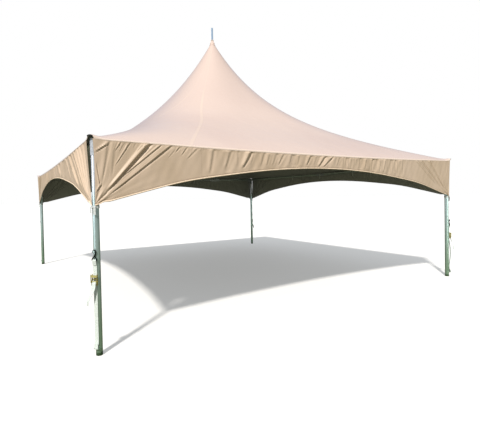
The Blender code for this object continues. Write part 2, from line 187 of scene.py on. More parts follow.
coverColours = {
    "roof": (0.592, 0.462, 0.400), "roofShade": (0.572, 0.438, 0.378), "roofTopPaintedShade": (0.545, 0.424, 0.372), "roofSeamAndHighlight": (0.68, 0.54, 0.43), "roofGrime": (0.50, 0.375, 0.31),
    "roofEdgePaintedLight": (0.68, 0.55, 0.465),
    # the valance colour is the roof fabric's made darker and yellower: painted shade and ground bounce for the upright
    # sides
    "valance": (0.565, 0.43, 0.32), "valanceShade": (0.50, 0.375, 0.265), "thread": (0.30, 0.20, 0.13),
    "hemPaintedHighlight": (0.78, 0.63, 0.47), "hemPaintedShadow": (0.36, 0.26, 0.18), "insidePaintedShade": (0.35, 0.34, 0.335), "liningWorn": (0.41, 0.40, 0.39),
    "sheenTint": (0.56, 0.66, 1.0, 1.0),
}
coverDetail = {
    "weavePitch": 0.0016, "seamUpper": 0.82, "seamLower": 0.66, "seamHalf": 0.020, "hipSeamHalf": 0.016,
    "hemLine": 0.0255, "stitchPitch": 0.0055, "valanceSeams": (-1.9, -0.63, 0.63, 1.9),
}


def weave(nodes, links, coordinates, pitch):
    # threads over and under, as a height from 0 to 1
    parts = []
    for axis in ("X", "Y", "Z"):
        wave = addNode(nodes, "ShaderNodeTexWave", bands_direction=axis, wave_profile="SIN")
        wave.inputs["Scale"].default_value = 0.314 / pitch
        links.new(coordinates, wave.inputs["Vector"])
        parts.append(wave.outputs["Fac"])
    return mathNode(nodes, links, "MULTIPLY", mathNode(nodes, links, "ADD", parts[0], parts[1]), parts[2])


def roofFabric():
    v, c = coverDetail, coverColours
    made, nodes, links, shader = newMaterial("coatedRoofFabric", c["roof"], 0.5, Sheen_Weight=0.66,
                                             Sheen_Roughness=0.26, Sheen_Tint=c["sheenTint"])
    calc = lambda operation, *values: mathNode(nodes, links, operation, *values)
    place = objectCoordinates(nodes)
    around, hip = uvParts(nodes, links)
    across = calc("ABSOLUTE", calc("MULTIPLY_ADD", calc("FRACT", calc("MULTIPLY", around, 4)), 2, -1))
    scale = calc("MULTIPLY", hip, coverEdge)
    seamAt = calc("MULTIPLY_ADD", rampNode(nodes, links, hip, 0.64, 0.10), v["seamUpper"] - v["seamLower"], v["seamLower"])
    fromSeam = calc("MULTIPLY", calc("ABSOLUTE", calc("SUBTRACT", across, seamAt)), scale)
    fromHip = calc("MULTIPLY", calc("SUBTRACT", 1, across), scale)
    seamBand = rampNode(nodes, links, fromSeam, v["seamHalf"] + 0.004, v["seamHalf"] - 0.002)
    band = calc("MAXIMUM", seamBand, rampNode(nodes, links, fromHip, v["hipSeamHalf"] + 0.003, v["hipSeamHalf"]))
    pale = calc("MULTIPLY_ADD", calc("MULTIPLY", seamBand, rampNode(nodes, links, hip, 0.2, 0.36)), 0.3, calc("MULTIPLY", band, 0.06))
    along = calc("MULTIPLY", hip, 4.5)
    stitches = calc("MULTIPLY", dashes(nodes, links, along, v["stitchPitch"]),
                    calc("MAXIMUM", lineAt(nodes, links, fromSeam, v["seamHalf"] - 0.002, 0.0006),
                         lineAt(nodes, links, fromHip, v["hipSeamHalf"] - 0.002, 0.0006)))
    patches = noiseNode(nodes, links, place, 0.9, 2)
    grime = noiseNode(nodes, links, place, 14, 5, roughness=0.6)
    mixed = mixColour(nodes, links, rampNode(nodes, links, patches, 0.35, 0.7), c["roof"], c["roofShade"])
    # darker towards the apex: painted shade that tones down the strong sun on the upper roof
    mixed = mixColour(nodes, links, rampNode(nodes, links, hip, 0.45, 0.2), mixed, c["roofTopPaintedShade"])
    mixed = mixColour(nodes, links, calc("MULTIPLY", rampNode(nodes, links, grime, 0.45, 0.8), 0.16), mixed, c["roofGrime"])
    # paler seam bands, from partway down the slope to the eave: partly the welded overlap, partly a painted highlight
    # where the seam ridge catches the light
    mixed = mixColour(nodes, links, pale, mixed, c["roofSeamAndHighlight"])
    # paler rolled skirt along the eave: partly a welded edge band, partly painted light so the upright skirt looks as
    # bright as the sunlit roof
    mixed = mixColour(nodes, links, rampNode(nodes, links, hip, 0.992, 0.998), mixed, c["roofEdgePaintedLight"])
    mixed = mixColour(nodes, links, calc("MULTIPLY", stitches, 0.25), mixed, c["thread"])
    links.new(mixed, shader.inputs["Base Color"])
    links.new(calc("MULTIPLY_ADD", grime, 0.16, 0.42), shader.inputs["Roughness"])
    normal = bumpFrom(nodes, links, shader, weave(nodes, links, place, v["weavePitch"]), 0.0001, 0.4)
    normal = bumpFrom(nodes, links, shader, band, 0.0012, 0.7, after=normal)
    ripple = noiseNode(nodes, links, place, 3.2, 3, stretch=(1, 1, 0.35))
    bumpFrom(nodes, links, shader, ripple, 0.012, 0.5, after=normal)
    return made


def valanceFabric():
    v, c = coverDetail, coverColours
    made, nodes, links, shader = newMaterial("coatedValanceFabric", c["valance"], 0.6)
    calc = lambda operation, *values: mathNode(nodes, links, operation, *values)
    place = objectCoordinates(nodes)
    along, fromHem = uvParts(nodes, links)
    patches = noiseNode(nodes, links, place, 2.2, 3, stretch=(1, 1, 0.6))
    grime = noiseNode(nodes, links, place, 22, 5, stretch=(1, 1, 0.5), roughness=0.6)
    # base colour carries painted shade and ground bounce; random darker patches over it
    mixed = mixColour(nodes, links, rampNode(nodes, links, patches, 0.35, 0.7), c["valance"], c["valanceShade"])
    mixed = mixColour(nodes, links, calc("MULTIPLY", rampNode(nodes, links, grime, 0.45, 0.8), 0.25), mixed, c["valanceShade"])
    seams = calc("COMPARE", along, v["valanceSeams"][0], 0.0011)
    for seam in v["valanceSeams"][1:]:
        seams = calc("MAXIMUM", seams, calc("COMPARE", along, seam, 0.0011))
    hem = lineAt(nodes, links, fromHem, v["hemLine"], 0.0009)
    threads = calc("MAXIMUM", calc("MULTIPLY", hem, dashes(nodes, links, along, v["stitchPitch"])),
                   calc("MULTIPLY", seams, dashes(nodes, links, fromHem, v["stitchPitch"])))
    # paler band on the rolled hem: painted highlight along the bead
    mixed = mixColour(nodes, links, calc("MULTIPLY", rampNode(nodes, links, fromHem, 0.015, 0.012), 0.6), mixed, c["hemPaintedHighlight"])
    # darker band just above the hem bead: painted shadow under the bead
    hemBeadShadow = calc("MULTIPLY", rampNode(nodes, links, fromHem, 0.014, 0.018), rampNode(nodes, links, fromHem, 0.028, 0.022))
    mixed = mixColour(nodes, links, calc("MULTIPLY", hemBeadShadow, 0.45), mixed, c["hemPaintedShadow"])
    mixed = mixColour(nodes, links, calc("MULTIPLY", threads, 0.85), mixed, c["thread"])
    links.new(mixed, shader.inputs["Base Color"])
    links.new(calc("MULTIPLY_ADD", grime, 0.2, 0.45), shader.inputs["Roughness"])
    normal = bumpFrom(nodes, links, shader, weave(nodes, links, place, v["weavePitch"]), 0.0001, 0.4)
    normal = bumpFrom(nodes, links, shader, calc("SUBTRACT", 1, calc("MAXIMUM", seams, hem)), 0.0012, 0.8, after=normal)
    crumple = noiseNode(nodes, links, place, 16, 4, stretch=(1, 1, 0.4))
    bumpFrom(nodes, links, shader, crumple, 0.003, 0.5, after=normal)
    return made


def liningFabric():
    # the inside's dark grey is painted shade for the underside of the roof, mottled with lighter random patches
    made, nodes, links, shader = newMaterial("liningPaintedShade", coverColours["insidePaintedShade"], 0.75)
    place = objectCoordinates(nodes)
    mixed = mixColour(nodes, links, noiseNode(nodes, links, place, 3, 4),
                      coverColours["insidePaintedShade"], coverColours["liningWorn"])
    links.new(mixed, shader.inputs["Base Color"])
    normal = bumpFrom(nodes, links, shader, weave(nodes, links, place, coverDetail["weavePitch"]), 0.0001, 0.4)
    bumpFrom(nodes, links, shader, noiseNode(nodes, links, place, 30, 4), 0.002, 0.4, after=normal)
    return made


coverOutside, valanceOutside, coverLining = roofFabric(), valanceFabric(), liningFabric()


# Metals and straps

def brushedMetal(name, colour, paintedGroundReflection, paintedHighlightColour, roughness, grain):
    # drawn tube: fine lines along z, scuffs, a greener and darker colour lower down that is painted lawn reflection and
    # painted shade, a paler colour up high that is a painted highlight, and a duller, dirty band at the foot
    made, nodes, links, shader = newMaterial(name, colour, roughness, 0.7)
    place = objectCoordinates(nodes)
    lines = noiseNode(nodes, links, place, grain, 4, stretch=(1, 1, 0.02))
    scuffs = rampNode(nodes, links, noiseNode(nodes, links, place, 26, 5, stretch=(1, 1, 0.4), roughness=0.65), 0.54, 0.68)
    height = addNode(nodes, "ShaderNodeSeparateXYZ")
    links.new(place, height.inputs[0])
    # greener and darker towards the ground: painted reflection of the lawn and painted shade
    mixed = mixColour(nodes, links, rampNode(nodes, links, height.outputs["Z"], 1.3, 0.0), colour, paintedGroundReflection)
    # paler above about 1.5 m: painted highlight
    mixed = mixColour(nodes, links, rampNode(nodes, links, height.outputs["Z"], 1.45, 1.65), mixed, paintedHighlightColour)
    mixed = mixColour(nodes, links, mathNode(nodes, links, "MULTIPLY", lines, 0.25), mixed, tuple(c * 0.6 for c in colour))
    mixed = mixColour(nodes, links, mathNode(nodes, links, "MULTIPLY", scuffs, 0.3), mixed, tuple(c * 0.45 for c in paintedGroundReflection))
    dirt = mathNode(nodes, links, "MULTIPLY_ADD", noiseNode(nodes, links, place, 40, 4), 0.03, -0.015)
    low = rampNode(nodes, links, mathNode(nodes, links, "ADD", height.outputs["Z"], dirt), 0.040, 0.026)
    links.new(mixColour(nodes, links, low, mixed, (0.05, 0.09, 0.04)), shader.inputs["Base Color"])
    rough = mathNode(nodes, links, "MULTIPLY_ADD", lines, 0.25, roughness - 0.12)
    rough = mathNode(nodes, links, "MULTIPLY_ADD", scuffs, 0.15, rough)
    links.new(mathNode(nodes, links, "MULTIPLY_ADD", low, 0.3, rough), shader.inputs["Roughness"])
    bumpFrom(nodes, links, shader, lines, 0.0003, 0.5)
    return made


def castMetal(name, colour, dark, roughness, scale, metallic=1.0, **sockets):
    # zinc coated or painted steel, with a mottled surface
    made, nodes, links, shader = newMaterial(name, colour, roughness, metallic, **sockets)
    place = objectCoordinates(nodes)
    cells = addNode(nodes, "ShaderNodeTexVoronoi")
    cells.inputs["Scale"].default_value = scale
    links.new(place, cells.inputs["Vector"])
    spangle = addNode(nodes, "ShaderNodeSeparateColor")
    links.new(cells.outputs["Color"], spangle.inputs[0])
    mottle = mathNode(nodes, links, "MULTIPLY", spangle.outputs[0], noiseNode(nodes, links, place, scale * 0.3, 3))
    links.new(mixColour(nodes, links, mottle, colour, dark), shader.inputs["Base Color"])
    links.new(mathNode(nodes, links, "MULTIPLY_ADD", mottle, 0.3, roughness - 0.1), shader.inputs["Roughness"])
    bumpFrom(nodes, links, shader, noiseNode(nodes, links, place, scale * 4, 3), 0.0004, 0.4)
    return made


def webbingFabric(name, colour, dark, half):
    # woven strap: across and along its length in metres in the UV map, sewn for 45 mm from its start
    made, nodes, links, shader = newMaterial(name, colour, 0.85, Sheen_Weight=0.2)
    calc = lambda operation, *values: mathNode(nodes, links, operation, *values)
    across, along = uvParts(nodes, links)
    side = calc("ABSOLUTE", across)
    slant = calc("ADD", along, calc("PINGPONG", side, half / 4))
    ribs = calc("MULTIPLY_ADD", calc("SINE", calc("MULTIPLY", slant, 2 * math.pi / 0.0021)), 0.5, 0.5)
    wear = noiseNode(nodes, links, objectCoordinates(nodes), 60, 4)
    sewn = calc("LESS_THAN", along, 0.045)
    rows = calc("MAXIMUM", lineAt(nodes, links, side, half * 0.76, 0.0007), lineAt(nodes, links, along, 0.007, 0.0009))
    rows = calc("MAXIMUM", rows, lineAt(nodes, links, along, 0.042, 0.0009))
    cross = calc("COMPARE", side, calc("MULTIPLY_ADD", calc("ABSOLUTE", calc("SUBTRACT", along, 0.0245)), half * 43, 0.0), 0.0009)
    thread = calc("MULTIPLY", calc("MULTIPLY", sewn, calc("MAXIMUM", rows, cross)),
                  dashes(nodes, links, calc("ADD", along, across), 0.0035))
    mixed = mixColour(nodes, links, calc("MULTIPLY", wear, calc("SUBTRACT", 1, ribs)), colour, dark)
    mixed = mixColour(nodes, links, calc("MULTIPLY", rampNode(nodes, links, side, half * 0.88, half), 0.5), mixed, dark)
    mixed = mixColour(nodes, links, calc("MULTIPLY", thread, 0.8), mixed, tuple(c * 0.4 for c in dark))
    links.new(mixed, shader.inputs["Base Color"])
    bumpFrom(nodes, links, shader, calc("SUBTRACT", ribs, thread), 0.0006, 0.8)
    return made


webbingLook = webbingFabric("webbingPolyester", (0.70, 0.745, 0.71), (0.40, 0.48, 0.41), 0.019)
narrowWebbingLook = webbingFabric("narrowWebbing", (0.66, 0.68, 0.67), (0.40, 0.44, 0.43), 0.0125)
finishes = {
    # legs: the green low colour is painted lawn reflection and shade, the pale high colour a painted highlight
    "leg_aluminium": brushedMetal("legAluminium", (0.48, 0.60, 0.60), (0.26, 0.39, 0.26), (0.74, 0.74, 0.80), 0.32, 260),
    "frame_aluminium": brushedMetal("frameAluminium", (0.46, 0.51, 0.48), (0.46, 0.51, 0.48), (0.46, 0.51, 0.48), 0.42, 200),
    "fitting_steel": castMetal("galvanisedSteel", (0.46, 0.48, 0.52), (0.24, 0.26, 0.30), 0.65, 90, metallic=0.15, Specular_IOR_Level=0.3),
    "tip_steel": castMetal("tipPaint", (0.28, 0.40, 0.55), (0.20, 0.30, 0.44), 0.40, 30, metallic=0.4),
    "cable_steel": castMetal("cableSteel", (0.46, 0.47, 0.48), (0.24, 0.25, 0.26), 0.45, 200),
    "hook_coating": castMetal("dippedCoating", (0.004, 0.008, 0.006), (0.010, 0.014, 0.012), 0.75, 120, metallic=0.0, Specular_IOR_Level=0.2),
    "ratchet_zinc": castMetal("yellowZinc", (0.60, 0.52, 0.20), (0.25, 0.20, 0.06), 0.30, 150, metallic=0.9),
    "webbing": webbingLook,
}
bindingLook = castMetal("blackBinding", (0.012, 0.014, 0.012), (0.03, 0.03, 0.028), 0.6, 400, metallic=0.0)
for part in record["subparts"]:
    if part["material_slot"] in finishes:
        shown = frame["nodes"][part["node"]]
        shown.data.materials.clear()
        shown.data.materials.append(finishes[part["material_slot"]])
print("finishes made")


# Modelling helpers

def pick(*pieces):
    if bpy.context.mode != "OBJECT":
        bpy.ops.object.mode_set(mode="OBJECT")
    bpy.ops.object.select_all(action="DESELECT")
    for piece in pieces:
        piece.select_set(True)
    if pieces:
        bpy.context.view_layer.objects.active = pieces[0]


def applyModifiers(piece):
    pick(piece)
    for modifier in list(piece.modifiers):
        bpy.ops.object.modifier_apply(modifier=modifier.name)


def startPiece(material):
    piece = bpy.context.active_object
    pick(piece)
    bpy.ops.object.transform_apply(location=True, rotation=True, scale=True)
    piece.data.materials.append(material)
    return piece


def startBox(low, high, material):
    pick()
    bpy.ops.mesh.primitive_cube_add(size=1, location=[(a + b) / 2 for a, b in zip(low, high)],
                                    scale=[b - a for a, b in zip(low, high)])
    return startPiece(material)


def startRod(start, end, radius, material, around=24):
    pick()
    start, end = Vector(start), Vector(end)
    turn = (end - start).to_track_quat("Z", "Y").to_euler()
    bpy.ops.mesh.primitive_cylinder_add(vertices=around, radius=radius, depth=(end - start).length,
                                        location=(start + end) / 2, rotation=turn)
    return startPiece(material)


def startRing(centre, axis, radius, thickness, material):
    pick()
    turn = Vector(axis).to_track_quat("Z", "Y").to_euler()
    bpy.ops.mesh.primitive_torus_add(major_radius=radius, minor_radius=thickness, location=centre, rotation=turn,
                                     major_segments=32, minor_segments=8)
    return startPiece(material)


def selectFaces(piece, wanted):
    # to edit mode, with the faces whose centre and normal pass the test
    pick(piece)
    bpy.context.tool_settings.mesh_select_mode = (False, False, True)
    mesh = piece.data
    for group in (mesh.vertices, mesh.edges, mesh.polygons):
        group.foreach_set("select", [False] * len(group))
    for face in mesh.polygons:
        face.select = wanted(face.center, face.normal)
    bpy.ops.object.mode_set(mode="EDIT")


def softenEdges(piece, width, segments=2):
    bevel = piece.modifiers.new("bevel", "BEVEL")
    bevel.width = width
    bevel.segments = segments
    bevel.limit_method = "ANGLE"
    bevel.angle_limit = math.radians(40)
    applyModifiers(piece)
    return piece


def joinPieces(name, pieces, angle=38):
    pick(*pieces)
    bpy.ops.object.join()
    piece = bpy.context.active_object
    piece.name = piece.data.name = name
    bpy.ops.object.shade_smooth_by_angle(angle=math.radians(angle))
    return piece


def keepPiece(piece, slot, *replaced):
    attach(piece, "root")
    if replaced:
        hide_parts(*replaced)
    return piece


def placeCopies(original, places, slot):
    # places: name to its place and the CAD nodes that it stands for
    for name, (place, replaced) in places.items():
        piece = original.copy()
        piece.data = original.data.copy()
        piece.name = piece.data.name = name
        piece.data.transform(place)
        bpy.context.scene.collection.objects.link(piece)
        keepPiece(piece, slot, *replaced)
    bpy.data.objects.remove(original)


def turnZ(degrees):
    return Matrix.Rotation(math.radians(degrees), 4, "Z")


def legPlace(corner):
    # at the leg's axis, with X pointing out of the tent along the diagonal
    x, y = corners[corner]
    return Matrix.Translation((x * legAxis, y * legAxis, 0)) @ turnZ(math.degrees(math.atan2(y, x)))


def diagonalPlace(corner):
    x, y = corners[corner]
    return turnZ(math.degrees(math.atan2(y, x)))


def smooth(value):
    value = np.clip(value, 0, 1)
    return value * value * (3 - 2 * value)


def turnGrid(grid, degrees):
    c, s = math.cos(math.radians(degrees)), math.sin(math.radians(degrees))
    x, y, z = grid[..., 0], grid[..., 1], grid[..., 2]
    return np.stack([x * c - y * s, x * s + y * c, z], axis=-1)


def sheetFromGrid(name, grid, uvs, cyclic, thickness, outside, inside, offset=-1):
    # rows of points from the top down, each running to the right as seen from outside
    rows, columns = grid.shape[:2]
    index = np.arange(rows * columns).reshape(rows, columns)
    left = index if cyclic else index[:, :-1]
    right = np.roll(index, -1, axis=1) if cyclic else index[:, 1:]
    faces = np.stack([left[:-1], left[1:], right[1:], right[:-1]], axis=-1).reshape(-1, 4)
    mesh = bpy.data.meshes.new(name)
    mesh.from_pydata(grid.reshape(-1, 3).tolist(), [], faces.tolist())
    layer = mesh.uv_layers.new(name="UVMap")
    layer.data.foreach_set("uv", uvs.reshape(-1).astype(np.float32))
    mesh.materials.append(outside)
    mesh.materials.append(inside)
    mesh.shade_smooth()
    sheet = bpy.data.objects.new(name, mesh)
    bpy.context.scene.collection.objects.link(sheet)
    solid = sheet.modifiers.new("fabric", "SOLIDIFY")
    solid.thickness = thickness
    solid.offset = offset
    solid.material_offset = 1
    applyModifiers(sheet)
    bpy.ops.object.shade_smooth_by_angle(angle=math.radians(70))      # keeps the cut edges crisp
    return sheet


def faceUvs(uLeft, uRight, vTop, vBottom):
    # the u of each face's two sides and the v of its two ends, as arrays of rows and columns
    uvs = np.zeros((*np.broadcast(uLeft, vTop).shape, 4, 2))
    uvs[..., 0, 0] = uvs[..., 1, 0] = uLeft
    uvs[..., 2, 0] = uvs[..., 3, 0] = uRight
    uvs[..., 0, 1] = uvs[..., 3, 1] = vTop
    uvs[..., 1, 1] = uvs[..., 2, 1] = vBottom
    return uvs


def gridUvs(u, v):
    # from the u and v of each point of a grid
    return np.stack([np.stack([g[:-1, :-1], g[1:, :-1], g[1:, 1:], g[:-1, 1:]], axis=-1) for g in (u, v)], axis=-1)


def clothArea(grid, cyclic=False):
    # area of one face of a sheet
    if cyclic:
        grid = np.concatenate([grid, grid[:, :1]], axis=1)
    a, b = grid[1:, :-1] - grid[:-1, :-1], grid[:-1, 1:] - grid[:-1, :-1]
    return float(np.linalg.norm(np.cross(a, b), axis=-1).sum())


# Sheets of the cover

roofShape = {
    "rise": 2.64, "straight": 0.34, "swoop": 0.353, "rounding": 0.81, "ring": 0.042,
    "columns": 100, "rows": 60, "rollStart": 0.9935, "cornerRadius": 0.038,
    "cornerLift": 0.022, "cornerLiftReach": 0.095, "archLift": 0.012, "archReach": 0.035, "skirt": 0.016, "skirtAtCorner": 0.009,
    "notch": (0.028, 0.022),    # the skirt ends this far from the corner, over this width
    "thickness": 0.0015, "laidFlat": (8.6, 8.6),
}
valanceShape = {
    "crown": 1.835, "spring": 1.42, "lean": 2.2, "columns": 720, "rows": 60, "thickness": 0.0015,
    # the corner slots at each side's left and right end: at the top, in the middle and at the foot
    "slotLeft": (0.036, 0.046, 0.022), "slotRight": (0.052, 0.046, 0.018), "slotSeen": (0.105, 0.085, 0.018),
    "hem": 0.028, "lap": 0.0017, "overlap": 0.010, "foldDepth": 1.25, "foldWidth": 1.0, "gathers": 80,
    "fanDepth": 0.0006, "footGather": 0.009, "drawn": ((0, 0.45, 0.55, 0.63, 0.745, 0.82, 1), (0, 0.45, 0.60, 0.76, 0.925, 0.962, 1)),
     "footLift": 0.012, "shoulder": 0.014, "bead": 0.013, "beadDepth": 0.0055, "laidFlat": (6.25, 0.66), "fullness": 1.06,
}

# folds seen in the front valance: end points (along, height), half width and depth
frontFolds = [
    (-2.922, 1.552, -2.496, 2.027, 0.024, 0.030), (-2.800, 1.672, -2.366, 2.027, 0.010, 0.011),
    (-2.918, 1.510, -2.270, 2.022, 0.022, 0.010), (-2.914, 1.510, -2.260, 2.022, 0.009, 0.011), (-2.835, 1.806, -2.689, 2.027, 0.009, 0.009),
    (-2.835, 1.943, -2.781, 2.027, 0.010, 0.008), (-2.800, 1.930, -2.745, 2.020, 0.007, 0.005),
    (-3.100, 1.872, -2.930, 1.988, 0.008, 0.018), (-2.960, 1.650, -2.895, 2.020, 0.022, 0.006),
    (-2.981, 1.610, -3.008, 1.793, 0.009, 0.014), (-3.022, 1.546, -2.972, 1.612, 0.009, 0.018), (-2.870, 1.700, -2.840, 2.000, 0.024, 0.004),
    (-2.989, 1.477, -2.925, 1.540, 0.010, 0.010), (-2.210, 1.958, -2.160, 2.018, 0.014, 0.007),
    (-2.140, 1.930, -2.085, 2.010, 0.013, 0.007), (-2.290, 1.900, -2.215, 1.985, 0.012, 0.003),
    (-2.077, 1.893, -1.952, 2.018, 0.016, 0.006), (-2.618, 1.952, -2.568, 2.010, 0.010, 0.004),
    (-1.800, 1.735, -1.755, 2.020, 0.031, 0.014), (-1.600, 1.790, -1.530, 2.020, 0.029, 0.013),
    (-1.440, 1.840, -1.430, 2.000, 0.017, 0.007), (-1.372, 1.810, -1.245, 2.015, 0.031, 0.021),
    (-1.255, 1.850, -1.195, 2.020, 0.014, 0.008), (-1.100, 1.850, -1.060, 2.000, 0.024, 0.008),
    (-1.020, 1.850, -0.980, 2.000, 0.026, 0.010), (-0.935, 1.850, -0.870, 2.000, 0.024, 0.008),
    (-0.835, 1.865, -0.755, 2.010, 0.026, 0.013), (-0.660, 1.880, -0.630, 1.990, 0.022, 0.006),
    (-0.520, 1.880, -0.500, 1.990, 0.017, 0.007), (-0.375, 1.870, -0.295, 2.020, 0.031, 0.017),
    (-0.240, 1.880, -0.200, 1.990, 0.019, 0.006), (-0.165, 1.855, -0.035, 2.010, 0.029, 0.020),
    (-0.090, 1.845, 0.090, 1.990, 0.019, 0.014), (0.020, 1.900, 0.110, 2.010, 0.014, 0.011),
    (0.190, 1.880, 0.240, 2.000, 0.022, 0.008), (0.300, 1.870, 0.320, 1.990, 0.017, 0.006),
    (0.360, 1.845, 0.370, 2.010, 0.014, 0.010), (0.415, 1.850, 0.420, 2.000, 0.012, 0.007),
    (0.470, 1.840, 0.475, 2.010, 0.014, 0.008), (0.530, 1.850, 0.540, 2.000, 0.012, 0.007),
    (0.640, 1.850, 0.660, 2.000, 0.019, 0.010), (0.760, 1.850, 0.790, 1.990, 0.024, 0.010),
    (0.925, 1.830, 0.935, 2.015, 0.026, 0.017), (1.030, 1.840, 1.030, 1.980, 0.017, 0.007),
    (1.100, 1.820, 1.110, 2.000, 0.019, 0.010), (1.190, 1.810, 1.240, 2.000, 0.022, 0.011),
    (1.360, 1.800, 1.350, 1.990, 0.022, 0.006), (1.475, 1.770, 1.478, 2.020, 0.019, 0.013),
    (1.545, 1.780, 1.530, 2.000, 0.017, 0.007), (1.655, 1.760, 1.660, 2.000, 0.024, 0.007),
    (2.660, 1.610, 2.040, 2.020, 0.012, 0.010), (2.760, 1.600, 2.170, 2.020, 0.013, 0.013),
    (2.880, 1.550, 2.400, 2.020, 0.014, 0.015), (2.950, 1.560, 2.580, 2.020, 0.012, 0.008),
    (2.920, 1.700, 2.880, 2.020, 0.020, 0.004),
]
# folds of the left valance, fanning from the corner beside the front
leftFolds = [
    (2.96, 1.48, 2.80, 2.03, 0.024, 0.017), (2.95, 1.48, 2.62, 2.03, 0.023, 0.019),
    (2.92, 1.48, 2.46, 2.02, 0.024, 0.020), (2.84, 1.52, 2.26, 2.02, 0.024, 0.017),
    (2.95, 1.48, 2.72, 2.03, 0.010, 0.009), (2.93, 1.48, 2.54, 2.03, 0.011, 0.009),
    (2.89, 1.50, 2.36, 2.02, 0.011, 0.008), (2.66, 1.58, 2.08, 2.02, 0.018, 0.008),
    (2.42, 1.62, 1.90, 2.01, 0.034, 0.021), (1.95, 1.72, 1.62, 2.01, 0.028, 0.010),
    (0.98, 1.82, 0.86, 2.00, 0.038, 0.013), (0.30, 1.85, 0.34, 2.00, 0.034, 0.009),
    (-0.74, 1.83, -0.70, 2.00, 0.038, 0.013), (-1.30, 1.80, -1.18, 2.00, 0.034, 0.012),
    (-2.96, 1.50, -2.60, 2.02, 0.024, 0.016), (-2.94, 1.49, -2.36, 2.02, 0.026, 0.016),
    (-2.90, 1.50, -2.10, 2.02, 0.028, 0.013), (-1.90, 1.76, -1.82, 2.01, 0.032, 0.012),
]




def mirrored(folds):
    return [(-x0, z0, -x1, z1, width, depth) for x0, z0, x1, z1, width, depth in folds]


sideFolds = {"front": frontFolds, "right": mirrored(leftFolds), "back": mirrored(frontFolds), "left": leftFolds}
sideSeed = {"front": 11, "right": 23, "back": 37, "left": 41}


def pleat(place):
    # across one fold: a long rise to a ridge, a steep fall about its middle line, and a short rise back
    return 0.45 * smooth((place + 2.3) / 1.7) - 0.88 * smooth((place + 0.62) / 1.2) + 0.43 * smooth((place - 0.55) / 0.95)


def foldHeight(x, z, folds, widthScale, depthScale):
    push = np.zeros_like(x)
    for x0, z0, x1, z1, width, depth in folds:
        length = math.hypot(x1 - x0, z1 - z0)
        ux, uz = (x1 - x0) / length, (z1 - z0) / length
        t = ((x - x0) * ux + (z - z0) * uz) / length
        aside = (x - x0) * uz - (z - z0) * ux
        broad = widthScale * width * (0.5 + 0.75 * np.clip(t, 0, 1))
        ends = smooth((t + 0.06) / 0.3) * smooth((1.25 - t) / 0.25)
        push += depthScale * depth * ends * pleat(aside / broad)
    return push


def clothPush(x, z, side):
    # how far the slack pushes the hanging cloth out, at points along the side and up it
    v = valanceShape
    push = foldHeight(x, z, sideFolds[side], v["foldWidth"], v["foldDepth"])
    draw = np.random.default_rng(sideSeed[side])
    gathers = []
    for i in range(v["gathers"]):           # short gathers under the seam, leaning to the nearer corner
        start = draw.uniform(-2.95, 2.95)
        length = draw.uniform(0.03, 0.11)
        lean = -0.5 * start / 3 * length + draw.uniform(-0.015, 0.015)
        gathers.append((start - lean, 2.03 - length, start, 2.04, draw.uniform(0.009, 0.016), draw.uniform(0.002, 0.005)))
    push += foldHeight(x, z, gathers, 1, 1)
    for i in range(9):                      # soft uneven waves
        length, slant = 0.11 + 0.05 * i, 0.5 * math.sin(sideSeed[side] + i * 1.3)
        push += (0.0005 + 0.0011 * smooth((1.9 - np.abs(x)) / 0.4)) * np.sin(2 * math.pi * (x + slant * (z - 2.0)) / length + sideSeed[side] * 1.7 + i * 2.39)
    reach = np.hypot(3.03 - np.abs(x), z - 1.43)
    angle = np.arctan2(z - 1.43, 3.03 - np.abs(x))
    fan = np.sin(angle * 34 + 2 * np.sin(angle * 5 + sideSeed[side])) * smooth(reach / 0.2) * (1 - smooth((reach - 0.45) / 0.45))
    knot = np.sin(angle * 15 + sideSeed[side]) * smooth(reach / 0.03) * (1 - smooth((reach - 0.05) / 0.2))
    return push + v["fanDepth"] * fan + v["footGather"] * knot


def roofPoint(hip, across):
    # front quarter: hip 0 to 1 down the slope, across -1 to 1 along the side
    v = roofShape
    share = (1 - hip) * (v["straight"] + (1 - v["straight"]) * np.exp(-hip / v["swoop"]))
    roundness = share * (1 + v["rounding"]) / (share + v["rounding"])
    fullness = np.maximum(1 + (math.sqrt(2) - 1) * roundness, 1.001)
    power = math.log(2) / np.log(fullness)
    angle = np.arctan(across)
    out, along = np.cos(angle), np.abs(np.sin(angle))
    reach = hip * fullness * coverEdge / (out ** power + along ** power) ** (1 / power)
    height = eaveHeight + v["rise"] * share - eaveSag * (1 - across ** 2) * hip ** 8
    return np.stack([reach * np.sin(angle), -reach * out, height], axis=-1)


def skirtDepth(x):
    # the rolled skirt is shallower towards the corners
    v = roofShape
    return v["skirt"] - (v["skirt"] - v["skirtAtCorner"]) * smooth((np.abs(x) - 1.6) / 0.8)


